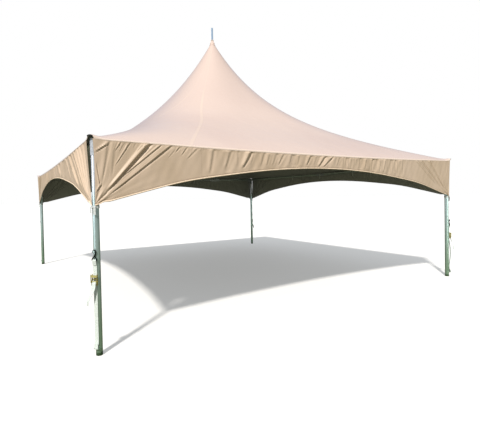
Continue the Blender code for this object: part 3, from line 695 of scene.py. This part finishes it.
def roofQuarter(across, side):
    v = roofShape
    top = v["ring"] / (coverEdge * math.sqrt(2))
    hips = top + (v["rollStart"] - top) * np.linspace(0, 1, v["rows"]) ** 1.15
    rows = [roofPoint(np.full_like(across, hip), across) for hip in hips]
    start, edge = rows[-1], roofPoint(np.ones_like(across), across)
    fromCorner = coverEdge - np.abs(edge[:, 0])
    depth = skirtDepth(edge[:, 0]) * smooth((fromCorner - v["notch"][0]) / v["notch"][1])
    below = edge.copy()
    below[:, 2] -= 0.003 + 0.45 * depth
    for t in np.linspace(0, 1, 8)[1:]:
        rows.append((1 - t) ** 2 * start + 2 * t * (1 - t) * edge + t * t * below)
        hips = np.append(hips, v["rollStart"] + (1 - v["rollStart"]) * t)
    for t in np.linspace(0, 1, 4)[1:]:
        lower = below.copy()
        lower[:, 2] -= t * 0.55 * depth
        rows.append(lower)
        hips = np.append(hips, 1 + 0.01 * t)
    grid = np.stack(rows)
    drop = smooth((edge[None, :, 2] - grid[..., 2]) / v["skirt"]) * (hips > v["rollStart"])[:, None]
    grid[..., 1] -= 0.06 * clothPush(grid[..., 0], grid[..., 2], side) * drop
    radius = v["cornerRadius"] * smooth((hips - 0.93) / 0.06)[:, None] + 1e-6
    x, y = grid[..., 0], grid[..., 1]
    size = -y
    turn = np.clip((np.abs(x) - (size - radius)) / radius, 0, 1) * math.pi / 4
    rounded = turn > 0
    grid[..., 0] = np.where(rounded, np.sign(x) * (size - radius + radius * np.sin(turn)), x)
    grid[..., 1] = np.where(rounded, -(size - radius) - radius * np.cos(turn), y)
    away = np.hypot(np.abs(grid[..., 0]) - 3.055, np.abs(grid[..., 1]) - 3.055)
    lift = v["cornerLift"] * np.exp(-(away / v["cornerLiftReach"]) ** 2) + v["archLift"] * np.exp(-(away / v["archReach"]) ** 2)
    grid[..., 2] += lift * (1 - 0.8 * drop * (depth > 0.004))
    return grid, hips


def makeRoof():
    v = roofShape
    steps = np.linspace(-1, 1, v["columns"] + 1)
    across = 0.86 * np.sin(steps * math.pi / 2) + 0.14 * steps
    quarters = [(*roofQuarter(across, side), turn) for side, turn in sides.items()]
    hips = quarters[0][1]
    grid = np.concatenate([turnGrid(quarter[:, :-1], turn) for quarter, _, turn in quarters], axis=1)
    uLeft = np.concatenate([(k + (across[:-1] + 1) / 2) / 4 for k in range(4)])
    uRight = np.concatenate([(k + (across[1:] + 1) / 2) / 4 for k in range(4)])
    uvs = faceUvs(uLeft[None, :], uRight[None, :], hips[:-1, None], hips[1:, None])
    sheet = sheetFromGrid("roofCover", grid, uvs, True, v["thickness"], coverOutside, coverLining)
    keepPiece(sheet, "cover_fabric", *[f"roof_cover_{side}" for side in sides])
    return sheet, grid


roofCover, roofGrid = makeRoof()
print("roof cover made, square metres:", round(clothArea(roofGrid, True), 2))


def makeValance(side):
    v = valanceShape
    fine = np.linspace(0, 1, 400)
    density = 1 + 1.2 * smooth((fine - 0.55) / 0.25)          # closer columns towards the corners
    reached = np.concatenate([[0], np.cumsum((density[1:] + density[:-1]) / 2)])
    steps = np.linspace(-1, 1, v["columns"] + 1)
    s = np.sign(steps) * np.interp(np.abs(steps), reached / reached[-1], fine)
    hemRows = np.array([0.84, 0.68, 0.56, 0.48, 0.40, 0.32, 0.24, 0.16, 0.08, 0])
    t = np.concatenate([np.linspace(0, 1, v["rows"] - 9), 2 - hemRows])        # above 1, rows of the hem
    T, S = np.meshgrid(t, s, indexing="ij")
    lean = math.tan(math.radians(v["lean"]))
    hemShare, T = 2 - np.maximum(T, 1), np.minimum(T, 1)
    S = S + (np.sign(S) * np.interp(np.abs(S), *v["drawn"]) - S) * T      # columns run down to the foot, as the folds do
    size = coverEdge - lean * T * (eaveHeight - v["spring"])
    slots = [a * (1 - T) ** 2 + 2 * b * T * (1 - T) + c * T ** 2 for a, b, c in
             (v["slotLeft"], v["slotSeen" if side == "left" else "slotRight"])]
    x = -(size - slots[0]) * (1 - S) / 2 + (size - slots[1]) * (1 + S) / 2
    top = eaveHeight - eaveSag * (1 - (x / coverEdge) ** 2) - skirtDepth(x) - 0.003 + v["overlap"]
    bottom = v["crown"] - (v["crown"] - v["spring"]) * (x / (size - 0.016)) ** 2
    bottom = bottom + v["footLift"] * np.exp(-((np.abs(x) - 2.945) / 0.035) ** 2)
    bottom = bottom + v["shoulder"] * np.exp(-((np.abs(x) - 2.1) / 0.4) ** 2)
    z = top + (bottom + v["hem"] - top) * T - v["hem"] * (1 - hemShare)
    fromHem = z - bottom
    free = 1 - 0.45 * smooth((T - 0.85) / 0.15)       # stiffer at the hem
    bead = np.where(fromHem < v["bead"], v["beadDepth"] * np.sin(math.pi * np.clip(fromHem / v["bead"], 0, 1)), 0)
    bead -= 0.0012 * np.exp(-((fromHem - v["bead"] - 0.003) / 0.002) ** 2)
    nearSlot = np.minimum(x + size - slots[0], size - slots[1] - x)
    held = (smooth(nearSlot / 0.05) * 0.7 + 0.3) * (smooth((top - z - v["overlap"]) / 0.02) * 0.94 + 0.06)
    out = coverEdge + v["lap"] - lean * np.maximum(top - v["overlap"] - z, 0)
    out = out + clothPush(x, z, side) * free * held + bead
    grid = np.stack([x, -out, z], axis=-1)
    uvs = gridUvs(x, fromHem)
    grid = turnGrid(grid, sides[side])
    sheet = sheetFromGrid(f"valance{side.capitalize()}", grid, uvs, False, v["thickness"], valanceOutside, coverLining)
    keepPiece(sheet, "valance_fabric", f"valance_{side}")
    return sheet, grid


valances = {side: makeValance(side) for side in sides}
print("valances made, square metres:", [round(clothArea(grid), 2) for _, grid in valances.values()])


# Black binding round the top of each corner slot

bindingShape = {"radius": 0.0058, "along": 0.042, "down": 0.032}


def makeWire(name, points, radius, material):
    curve = bpy.data.curves.new(name, "CURVE")
    curve.dimensions = "3D"
    curve.bevel_depth = radius
    curve.bevel_resolution = 3
    curve.use_fill_caps = True
    curve.resolution_u = 3
    spline = curve.splines.new("NURBS")
    spline.points.add(len(points) - 1)
    for point, place in zip(spline.points, points):
        point.co = (*place, 1)
    spline.order_u = 3
    spline.use_endpoint_u = True
    curve.materials.append(material)
    wire = bpy.data.objects.new(name, curve)
    bpy.context.scene.collection.objects.link(wire)
    pick(wire)
    bpy.ops.object.convert(target="MESH")
    wire = bpy.context.active_object
    wire.data.shade_smooth()
    return wire


def makeBinding(index, corner):
    v = bindingShape
    names = list(sides)
    columns = roofShape["columns"]
    middle = roofGrid[-1, index * columns]
    ring = [roofGrid[-1, (index * columns + k) % (4 * columns)] for k in range(-12, 13)]
    ring = [p for p in ring if np.hypot(*(p - middle)[:2]) < v["along"]]
    right, left = valances[names[index]][1][:, 0], valances[names[index - 1]][1][:, -1]
    ends = [[p for p in edge[3:] if p[2] > edge[0][2] - v["down"]] for edge in (left, right)]
    points = [*reversed(ends[0]), *ring, *ends[1]]
    piece = makeWire(f"slotBinding_{corner}", points, v["radius"], bindingLook)
    keepPiece(piece, "hook_coating")


for index, corner in enumerate(("front_left", "front_right", "back_right", "back_left")):
    makeBinding(index, corner)
print("slot bindings made")


# Cuff of gathered cloth round the tip, where the cover ends

cuffShape = {
    "heights": (4.600, 4.622, 4.637, 4.677, 4.692, 4.716), "radii": (0.0600, 0.0487, 0.0478, 0.0282, 0.0218, 0.0208),
    "pleats": 14, "pleatDepth": 0.0022, "laidFlat": (0.38, 0.13), "cord": 0.0021, "cordHeight": 4.702,
}


def makeCuff():
    v = cuffShape
    high, angle = np.meshgrid(np.linspace(v["heights"][-1], v["heights"][0], 20),
                              np.linspace(0, 2 * math.pi, 144, endpoint=False), indexing="ij")
    pleats = 1 + np.sin(v["pleats"] * angle + np.sin(3 * angle))
    radius = np.interp(high, v["heights"], v["radii"]) + v["pleatDepth"] * pleats * smooth((high - 4.6) / 0.06)
    grid = np.stack([radius * np.sin(angle), -radius * np.cos(angle), high], axis=-1)
    turns = angle[:1] / (2 * math.pi)
    uvs = faceUvs(turns, np.roll(turns, -1, axis=1) + 0 * turns, np.full((19, 1), 0.6), np.full((19, 1), 0.6))
    sheet = sheetFromGrid("peakCuff", grid, uvs, True, 0.0012, coverOutside, coverLining)
    keepPiece(sheet, "cover_fabric")
    pick()
    cord = startRing((0, 0, v["cordHeight"]), (0, 0, 1), v["radii"][-1] + 0.0055, v["cord"], webbingLook)
    selectFaces(cord, lambda centre, normal: centre.x > 0.02 and abs(centre.y) < 0.008)
    bpy.ops.transform.resize(value=(1.25, 1.3, 1.9))         # its knot
    pick(cord)
    keepPiece(joinPieces("peakCord", [cord], 60), "webbing")


makeCuff()


# Flat straps

def evenPath(points, step, easing=2):
    points = np.array(points, dtype=float)
    along = np.concatenate([[0], np.cumsum(np.linalg.norm(np.diff(points, axis=0), axis=1))])
    even = np.linspace(0, along[-1], int(along[-1] / step) + 2)
    path = np.stack([np.interp(even, along, points[:, k]) for k in range(points.shape[1])], axis=1)
    for _ in range(easing):
        path[1:-1] = (path[:-2] + 2 * path[1:-1] + path[2:]) / 4
    return path


def makeStrap(name, points, width, thickness, material, step=0.003, easing=2, twist=(0, 0), sway=0):
    # webbing that follows (out, up) points, with its width along Y; it is sewn at its start
    # twist is a length of its free end and how far that turns, in degrees; sway is how far it swings aside
    path = evenPath(points, step, easing)
    columns = np.linspace(-width / 2, width / 2, 5)
    along = np.concatenate([[0], np.cumsum(np.linalg.norm(np.diff(path, axis=0), axis=1))])
    free = smooth((along - along[-1] + twist[0]) / max(twist[0], 1e-6))[:, None]
    turn = math.radians(twist[1]) * free
    rows = np.zeros((len(path), 5, 3))
    rows[..., 0], rows[..., 2] = path[:, None, 0] + columns * np.sin(turn), path[:, None, 1]
    rows[..., 1] = columns * np.cos(turn) + sway * free
    uvs = faceUvs(columns[None, :-1], columns[None, 1:], along[:-1, None], along[1:, None])
    return sheetFromGrid(name, rows, uvs, False, thickness, material, material, offset=0)


def arc(centre, radius, start, end, steps=16):
    angles = np.radians(np.linspace(start, end, steps + 1))
    return [(centre[0] + radius * math.cos(a), centre[1] + radius * math.sin(a)) for a in angles]


# Anchor straps on three legs, drawn at a leg's axis with X pointing out

anchorShape = {
    "pinHeight": 0.995, "stapleHeight": 0.075, "stapleReach": 0.050, "stapleWire": 0.008,
    "hookWire": 0.013, "hookLoop": 0.0165, "hookPlane": 0.0425, "barDrop": 0.085, "barHalf": 0.0265,
    "width": 0.038, "thickness": 0.0025, "back": 0.0333, "gap": 0.0003,
    "low": 0.675, "high": 0.780, "half": 0.028, "depth": 0.026, "plate": 0.003,
    "spoolHeight": 0.711, "spoolOut": 0.0145, "tailEnd": 0.49, "tailReach": 0.022, "bow": 0.022,
}
strapBack = anchorShape["back"] + anchorShape["thickness"] / 2
ratchetBack = anchorShape["back"] + anchorShape["thickness"] + anchorShape["gap"]


def makeHook():
    v = anchorShape
    loop = v["hookLoop"]
    centre = 0.005 + v["gap"] + v["hookWire"] / 2 - loop
    path = [(loop * math.cos(math.radians(a)), loop * math.sin(math.radians(a)) + centre) for a in np.linspace(200, -35, 15)]
    path += [(0.008, -0.034), (-0.006, -0.050), (-v["barHalf"], -v["barDrop"] + 0.006), (-v["barHalf"] + 0.005, -v["barDrop"]),
             (v["barHalf"] - 0.005, -v["barDrop"]), (v["barHalf"], -v["barDrop"] + 0.006), (0.010, -0.053)]
    points = [(v["hookPlane"], y, v["pinHeight"] + z) for y, z in path]
    hook = makeWire("hook", points, v["hookWire"] / 2, finishes["hook_coating"])
    places = {f"anchorHook_{corner}": (legPlace(corner), [f"anchor_hook_{corner}"]) for corner in strappedLegs}
    placeCopies(hook, places, "hook_coating")


def webbingPath(bow):
    v = anchorShape
    staple = (v["stapleReach"], v["stapleHeight"])
    bar = (v["hookPlane"], v["pinHeight"] - v["barDrop"])
    wrap = v["thickness"] / 2 + v["gap"]
    loose = [(strapBack + bow * math.sin(math.pi * t), 0.195 + 0.46 * t) for t in np.linspace(0, 1, 25)]
    return ([(v["stapleReach"] - 0.002, v["stapleHeight"] + 0.045)]
            + arc(staple, v["stapleWire"] / 2 + wrap, 0, -180)
            + [(strapBack + 0.004, v["stapleHeight"] + 0.05), (strapBack + 0.001, 0.15)] + loose
            + [(strapBack, v["high"])]
            + arc(bar, v["hookWire"] / 2 + wrap, 180, 0) + [(v["hookPlane"] - 0.002, bar[1] - 0.045)])


def tailPath(reach):
    # wound three turns on the spool, then hanging free
    v = anchorShape
    spool = (ratchetBack + v["spoolOut"], v["spoolHeight"])
    turns = np.linspace(0, 3 * 360, 96)
    wound = [(spool[0] + (0.0072 + 0.0042 * a / 1080) * math.cos(math.radians(a)),
              spool[1] + (0.0072 + 0.0042 * a / 1080) * math.sin(math.radians(a))) for a in -turns[::1]]
    front = spool[0] + 0.0114
    return wound + [(front + 0.001, v["low"] + 0.02), (front + 0.003, 0.665), (0.067 + reach * 0.2, 0.63),
                    (0.072 + reach * 0.7, 0.58), (0.074 + reach, 0.53), (0.072 + reach * 0.9, v["tailEnd"])]


def makeAnchorStraps():
    v = anchorShape
    for corner in strappedLegs:
        bow = v["bow"] if corner == "front_right" else 0.0015
        strap = makeStrap("strap", webbingPath(bow), v["width"], v["thickness"], webbingLook)
        placeCopies(strap, {f"anchorWebbing_{corner}": (legPlace(corner), [f"anchor_webbing_{corner}"])}, "webbing")
        tail = makeStrap("tail", tailPath(v["tailReach"]), v["width"] - 0.001, 0.0018, webbingLook, twist=(0.19, 38), sway=-0.052)
        placeCopies(tail, {f"anchorTail_{corner}": (legPlace(corner), [f"anchor_tail_{corner}"])}, "webbing")


def makeRatchet():
    v = anchorShape
    zinc = finishes["ratchet_zinc"]
    back, front, half = ratchetBack, ratchetBack + v["depth"], v["half"]
    spool = (back + v["spoolOut"], v["spoolHeight"])
    pieces = []
    for outward in (-1, 1):
        y = sorted((outward * half, outward * (half - v["plate"])))
        plate = startBox((back, y[0], v["low"]), (front, y[1], v["high"]), zinc)
        selectFaces(plate, lambda centre, normal: normal.z > 0.9)
        bpy.ops.transform.resize(value=(0.5, 1, 1), center_override=(back, 0, v["high"]))
        selectFaces(plate, lambda centre, normal: normal.y * outward > 0.9)
        bpy.ops.mesh.inset(thickness=0.0035, depth=-0.0009)               # pressed panel
        pieces.append(softenEdges(plate, 0.0009))
        gear = startRod((spool[0], outward * (half + 0.0006), spool[1]), (spool[0], outward * (half + 0.0036), spool[1]),
                        0.0150, zinc, 28)
        pick(gear)
        bpy.context.tool_settings.mesh_select_mode = (True, False, False)
        for group in (gear.data.vertices, gear.data.edges, gear.data.polygons):
            group.foreach_set("select", [False] * len(group))
        for vertex in gear.data.vertices:
            turn = math.atan2(vertex.co.z - spool[1], vertex.co.x - spool[0])
            vertex.select = round(turn / (2 * math.pi) * 28) % 2 == 0
        bpy.ops.object.mode_set(mode="EDIT")
        bpy.ops.transform.resize(value=(0.8, 1, 0.8), center_override=(spool[0], 0, spool[1]))    # the teeth
        pick(gear)
        pieces.append(gear)
        arm = startBox((front - 0.010, min(outward * (half + 0.004), outward * (half + 0.0065)), v["low"] + 0.026),
                       (front + 0.003, max(outward * (half + 0.004), outward * (half + 0.0065)), v["high"] - 0.004), zinc)
        selectFaces(arm, lambda centre, normal: normal.z < -0.9)
        bpy.ops.transform.resize(value=(0.6, 1, 1))
        pieces.append(softenEdges(arm, 0.001))
        pieces.append(softenEdges(startRod((spool[0], outward * (half + 0.006), spool[1]),
                                           (spool[0], outward * (half + 0.0105), spool[1]), 0.0062, zinc, 6), 0.0006))
    pieces.append(startRod((spool[0], -half - 0.004, spool[1]), (spool[0], half + 0.004, spool[1]), 0.0062, zinc))
    pieces.append(startRod((back + 0.005, -half, v["high"] - 0.021), (back + 0.005, half, v["high"] - 0.021), 0.0042, zinc, 16))
    grip = startBox((front - 0.007, -half - 0.004, v["high"] - 0.027), (front + 0.003, half + 0.004, v["high"] - 0.006), zinc)
    selectFaces(grip, lambda centre, normal: normal.x > 0.9)
    bpy.ops.mesh.inset(thickness=0.004, depth=0)
    bpy.ops.mesh.inset(thickness=0.002, depth=-0.0025)
    pieces.append(softenEdges(grip, 0.0014))
    pawl = startBox((spool[0] - 0.003, -half + 0.004, spool[1] + 0.016), (spool[0] + 0.001, half - 0.004, v["low"] + 0.062), zinc)
    selectFaces(pawl, lambda centre, normal: normal.z < -0.9)
    bpy.ops.transform.resize(value=(0.4, 0.7, 1))
    pieces.append(softenEdges(pawl, 0.0006))
    ratchet = joinPieces("ratchet", pieces)
    places = {f"anchorRatchet_{corner}": (legPlace(corner), [f"anchor_ratchet_{corner}"]) for corner in strappedLegs}
    placeCopies(ratchet, places, "ratchet_zinc")


makeHook()
makeAnchorStraps()
makeRatchet()
print("anchor straps made")


# Webbing ties: one round each leg at the foot of the slot, three to a side round the eave tubes

tieShape = {"width": 0.025, "thickness": 0.0018, "legRadius": 0.0341, "legHeight": 1.413, "tubeRadius": 0.0254,
            "couplerRadius": 0.030, "tubeHeight": 2.004, "rise": 0.03 / 2.765, "every": 1.0}


def makeLegTies():
    v = tieShape
    path = [(r * math.cos(a), r * math.sin(a)) for a, r in
            zip(np.radians(np.linspace(-12, 385, 90)), np.linspace(v["legRadius"], v["legRadius"] + 0.0022, 90))]
    band = makeStrap("band", path, v["width"], v["thickness"], narrowWebbingLook)
    band.data.transform(Matrix.Translation((0, 0, v["legHeight"])) @ Matrix.Rotation(math.radians(7), 4, "Y")
                        @ Matrix.Rotation(math.radians(90), 4, "X"))
    pieces = [band]
    for turn, drop in ((-24, 0.058), (21, 0.074)):             # the knotted ends
        end = makeStrap("end", [(0.034, 0.004), (0.044, 0.012), (0.052, 0.004), (0.055, -0.02), (0.053, -drop)],
                        v["width"] * 0.85, v["thickness"], narrowWebbingLook)
        end.data.transform(turnZ(turn) @ Matrix.Translation((0, 0, v["legHeight"])))
        pieces.append(end)
    pick()
    bpy.ops.mesh.primitive_uv_sphere_add(segments=20, ring_count=12, radius=0.0125, location=(0.043, 0, v["legHeight"]))
    knot = startPiece(narrowWebbingLook)
    selectFaces(knot, lambda centre, normal: abs(centre.z - v["legHeight"]) < 0.004)
    bpy.ops.transform.resize(value=(0.72, 0.72, 1), center_override=(0.043, 0, v["legHeight"]))
    pick(knot)
    selectFaces(knot, lambda centre, normal: True)
    bpy.ops.transform.resize(value=(0.8, 1.15, 1), center_override=(0.043, 0, v["legHeight"]))
    pick(knot)
    pieces.append(knot)
    places = {f"legTie_{corner}": (legPlace(corner), []) for corner in corners}
    placeCopies(joinPieces("legTie", pieces, 50), places, "webbing")


def makeEaveTies():
    v = tieShape
    for along in (-v["every"], 0, v["every"]):
        radius = v["couplerRadius"] if along == 0 else v["tubeRadius"]
        height = v["tubeHeight"] + (0 if along == 0 else v["rise"] * (abs(along) - 0.12))
        centre, wrap = (legAxis, height), radius + v["thickness"] / 2 + 0.0006
        loop = [(coverEdge - 0.008, height + 0.006)] + arc(centre, wrap, 55, 305, 30) + [(coverEdge - 0.008, height - 0.004)]
        pieces = [makeStrap("loop", loop, v["width"], v["thickness"], narrowWebbingLook),
                  makeStrap("tail", [(centre[0] - wrap - 0.006, height + 0.012), (centre[0] - wrap - 0.008, height - 0.012),
                                     (centre[0] - wrap - 0.004, height - 0.05), (centre[0] - wrap - 0.008, height - 0.10)],
                            v["width"] * 0.9, v["thickness"], narrowWebbingLook)]
        buckle = startBox((centre[0] - wrap - 0.0062, -0.019, height - 0.010), (centre[0] - wrap - 0.001, 0.019, height + 0.010),
                          finishes["fitting_steel"])
        selectFaces(buckle, lambda centre, normal: normal.x < -0.9)
        bpy.ops.mesh.inset(thickness=0.004, depth=-0.0012)
        pieces.append(softenEdges(buckle, 0.001))
        tie = joinPieces("tie", pieces, 50)
        places = {}
        for side, turn in sides.items():
            label = {-1: "left", 0: "middle", 1: "right"}[int(np.sign(along))]
            shift = Matrix.Translation((0, along, 0))
            places[f"eaveTie_{side}_{label}"] = (turnZ(turn - 90) @ shift, [])
        placeCopies(tie, places, "webbing")


makeLegTies()
makeEaveTies()
print("ties made")


# Bolts, welds and the wire ropes

fittingShape = {
    "boltRadius": 0.0085, "tubeHeight": 2.034, "armRadius": 0.031, "sleeveRadius": 0.037, "weld": 0.0026,
    "lugHeight": 1.955, "lugReach": 0.085, "lugHalf": 0.006, "legRadius": 0.03175,
}


def makeBolt(place, axis, radius):
    # washer, hexagon head and a short end, standing on the place and pointing along the axis
    place, axis = Vector(place), Vector(axis).normalized()
    steel = finishes["fitting_steel"]
    washer = startRod(place - axis * 0.001, place + axis * 0.0015, radius * 1.35, steel, 24)
    head = startRod(place + axis * 0.001, place + axis * (0.0015 + radius * 0.75), radius, steel, 6)
    top = place + axis * (0.0015 + radius * 0.75)
    selectFaces(head, lambda centre, normal: (centre - top).length < radius * 0.2)
    bpy.ops.mesh.inset(thickness=radius * 0.12, depth=radius * 0.08)
    end = startRod(place, top + axis * radius * 0.5, radius * 0.5, steel, 16)
    return [softenEdges(washer, 0.0004, 1), softenEdges(head, 0.0006, 1), softenEdges(end, 0.0006, 1)]


def makeFittingDetails():
    v = fittingShape
    steel = finishes["fitting_steel"]
    pieces = []
    for outward in (-1, 1):
        arm = Vector((-math.sqrt(0.5), outward * math.sqrt(0.5), 0))
        inward = Vector((-math.sqrt(0.5), -outward * math.sqrt(0.5), 0))
        root = Vector((0, 0, v["tubeHeight"])) + arm * 0.036
        pieces.append(startRing(root, arm, v["armRadius"], v["weld"], steel))
        for reach in (0.070, 0.108):
            place = Vector((0, 0, v["tubeHeight"])) + arm * reach + inward * (v["armRadius"] - 0.0005)
            pieces += makeBolt(place, inward, v["boltRadius"] * 0.8)
        side = Vector((math.cos(math.radians(130)), outward * math.sin(math.radians(130)), 0))
        pieces += makeBolt(side * (v["sleeveRadius"] - 0.0005) + Vector((0, 0, 1.925)), side, v["boltRadius"])
        pieces.append(startRod((-v["sleeveRadius"] + 0.001, outward * v["lugHalf"], v["lugHeight"] - 0.03),
                               (-v["sleeveRadius"] + 0.001, outward * v["lugHalf"], v["lugHeight"] + 0.03), v["weld"], steel, 10))
        dot = Vector((math.cos(math.radians(55)), outward * math.sin(math.radians(55)), 0))
        button = startRod(dot * (v["legRadius"] - 0.001) + Vector((0, 0, 1.868)),
                          dot * (v["legRadius"] + 0.004) + Vector((0, 0, 1.868)), 0.0048, steel, 20)
        pieces.append(softenEdges(button, 0.0022, 3))                       # spring button
    pieces.append(startRing((0, 0, 1.9012), (0, 0, 1), v["sleeveRadius"] - 0.0016, 0.0018, steel))
    places = {f"fittingDetails_{corner}": (legPlace(corner), []) for corner in corners}
    placeCopies(joinPieces("fittingDetails", pieces), places, "fitting_steel")
    pieces = []
    for along in (-0.085, -0.035, 0.035, 0.085):
        pieces += makeBolt((along, -legAxis + 0.0297, 2.004), (0, 1, 0), v["boltRadius"] * 0.8)
    for along in (-0.12, 0.12):
        pieces.append(startRing((along, -legAxis, 2.004), (1, 0, 0), 0.0286, 0.0016, steel))
    places = {f"couplerDetails_{side}": (turnZ(turn), []) for side, turn in sides.items()}
    placeCopies(joinPieces("couplerDetails", pieces), places, "fitting_steel")


ropeShape = {"radius": 0.0050, "strands": 6, "pitch": 0.075, "terminal": 0.11, "terminalRadius": 0.011, "jaw": 0.016}


def makeRopes():
    # twisted wire rope with a swaged end and a forked jaw at both ends, drawn along the diagonal
    v, steel = ropeShape, finishes["cable_steel"]
    lug = Vector((legAxis * math.sqrt(2) - fittingShape["lugReach"] - 0.0006, 0, fittingShape["lugHeight"]))
    rim = Vector((0.0756, 0, 1.848))
    along = (lug - rim).normalized()
    free = (lug - rim).length - 2 * v["terminal"] + 0.02
    pick()
    bpy.ops.mesh.primitive_circle_add(vertices=v["strands"] * 3, radius=v["radius"])
    rope = bpy.context.active_object
    rope.data.materials.append(steel)
    bpy.context.tool_settings.mesh_select_mode = (True, False, False)
    for index, vertex in enumerate(rope.data.vertices):
        vertex.select = index % 3 == 0
    bpy.ops.object.mode_set(mode="EDIT")
    bpy.ops.transform.resize(value=(0.72, 0.72, 1), center_override=(0, 0, 0))      # hollows between the strands
    pick(rope)
    turns = round(free / v["pitch"])
    screw = rope.modifiers.new("twist", "SCREW")
    screw.axis = "Z"
    screw.screw_offset = free / turns
    screw.iterations = turns
    screw.steps = screw.render_steps = 9
    screw.use_normal_calculate = True
    applyModifiers(rope)
    turn = along.to_track_quat("Z", "Y").to_matrix().to_4x4()
    rope.data.transform(Matrix.Translation(rim + along * (v["terminal"] - 0.01)) @ turn)
    pieces = [rope]
    for end, inward, upright in ((lug, -along, True), (rim, along, False)):
        swage = startRod(end + inward * 0.004, end + inward * v["terminal"], v["terminalRadius"] * 0.8, steel)
        selectFaces(swage, lambda centre, normal: (centre - end - inward * v["terminal"]).length < 0.004)
        bpy.ops.transform.resize(value=(0.65, 0.65, 0.65))
        pieces.append(softenEdges(swage, 0.001))
        for place in (0.040, 0.062, 0.084):
            pieces.append(startRing(end + inward * place, along, v["terminalRadius"] * 0.8, 0.0009, steel))
        thick = 0.004
        gap = fittingShape["lugHalf"] + 0.0006 if upright else 0.0186
        body = startRod(end + inward * 0.002, end + inward * 0.032, gap + thick if upright else 0.011, steel, 16)
        pieces.append(softenEdges(body, 0.0015))
        for outward in (-1, 1):
            a, b = outward * gap, outward * (gap + thick)
            low, high = min(a, b), max(a, b)
            if upright:
                cheek = startBox((end.x - 0.022, low, end.z - v["jaw"]), (end.x + 0.030, high, end.z + v["jaw"]), steel)
                spot, axis = (end.x + 0.014, b, end.z), (0, outward, 0)
            else:
                cheek = startBox((end.x - 0.030, -v["jaw"], end.z + low), (end.x + 0.022, v["jaw"], end.z + high), steel)
                spot, axis = (end.x - 0.014, 0, end.z + b), (0, 0, outward)
            pieces.append(softenEdges(cheek, 0.0015))
            pieces += makeBolt(spot, axis, 0.0075)
        if not upright:
            bridge = startBox((end.x + 0.012, -v["jaw"] * 0.8, end.z - gap - thick), (end.x + 0.022, v["jaw"] * 0.8, end.z + gap + thick), steel)
            pieces.append(softenEdges(bridge, 0.0015))
    places = {f"crossCable_{corner}": (diagonalPlace(corner), [f"cross_cable_{corner}"]) for corner in corners}
    placeCopies(joinPieces("crossCable", pieces), places, "cable_steel")


makeFittingDetails()
makeRopes()
print("fittings and ropes made")


# Floor and light

stageValues = {
    "floorSize": 400, "floorColour": (0.62, 0.605, 0.585), "floorGlow": 0.29, "bounceColour": (0.195, 0.20, 0.135),
    "sunStrength": 4.7, "sunFrom": (-0.530, -0.468, 0.707), "sunAngle": 4, "sunColour": (1.0, 0.975, 0.93),
    "skyColour": (0.86, 0.93, 1.0), "skyStrength": 0.52,
    "backdropColour": (1.0, 1.0, 1.0),
    # bright sky seen in the gloss of the two front legs: place, aim, size, spread in degrees, power and colour
    "glossLights": (((-9, -3.6, 2.2), (-3, -3, 1), (4, 4), 180, 150, (0.88, 0.92, 1.0)),
                    ((3.7, -6.4, 1.1), (3, -3, 1), (2.0, 2.6), 70, 13, (0.90, 1.0, 0.90))),
}


def makeStage(values):
    pick()
    bpy.ops.mesh.primitive_plane_add(size=values["floorSize"])
    floor = bpy.context.active_object
    floor.name = "floor"
    made, nodes, links, shader = newMaterial("paleFloor", values["floorColour"], 0.9)
    shader.inputs["Emission Color"].default_value = (1, 1, 1, 1)
    shader.inputs["Emission Strength"].default_value = values["floorGlow"]
    bounce = nodes.new("ShaderNodeBsdfDiffuse")             # what the tent gets back from the ground
    bounce.inputs["Color"].default_value = (*values["bounceColour"], 1)
    isCamera = nodes.new("ShaderNodeLightPath").outputs["Is Camera Ray"]
    choose = nodes.new("ShaderNodeMixShader")
    links.new(isCamera, choose.inputs[0])
    links.new(bounce.outputs[0], choose.inputs[1])
    links.new(shader.outputs[0], choose.inputs[2])
    links.new(choose.outputs[0], nodes["Material Output"].inputs["Surface"])
    floor.data.materials.append(made)
    light = bpy.data.lights.new("sun", "SUN")
    light.energy = values["sunStrength"]
    light.angle = math.radians(values["sunAngle"])
    light.color = values["sunColour"]
    sun = bpy.data.objects.new("sun", light)
    bpy.context.scene.collection.objects.link(sun)
    sun.rotation_euler = (-Vector(values["sunFrom"])).to_track_quat("-Z", "Y").to_euler()
    for index, (place, aim, size, spread, power, colour) in enumerate(values["glossLights"]):
        light = bpy.data.lights.new(f"glossLight{index}", "AREA")
        light.shape = "RECTANGLE"
        light.size, light.size_y = size
        light.spread = math.radians(spread)
        light.energy, light.color = power, colour
        lamp = bpy.data.objects.new(f"glossLight{index}", light)
        bpy.context.scene.collection.objects.link(lamp)
        lamp.location = place
        lamp.rotation_euler = (Vector(aim) - lamp.location).to_track_quat("-Z", "Y").to_euler()
        lamp.visible_diffuse = lamp.visible_camera = False
    world = bpy.data.worlds.new("world")
    world.use_nodes = True
    nodes, links = world.node_tree.nodes, world.node_tree.links
    sky = nodes["Background"]
    sky.inputs["Color"].default_value = (*values["skyColour"], 1)
    sky.inputs["Strength"].default_value = values["skyStrength"]
    backdrop = nodes.new("ShaderNodeBackground")           # what the camera sees behind the tent
    backdrop.inputs["Color"].default_value = (*values["backdropColour"], 1)
    choose = nodes.new("ShaderNodeMixShader")
    links.new(nodes.new("ShaderNodeLightPath").outputs["Is Camera Ray"], choose.inputs[0])
    links.new(sky.outputs[0], choose.inputs[1])
    links.new(backdrop.outputs[0], choose.inputs[2])
    links.new(choose.outputs[0], nodes["World Output"].inputs["Surface"])
    bpy.context.scene.world = world


makeStage(stageValues)
print("stage made")
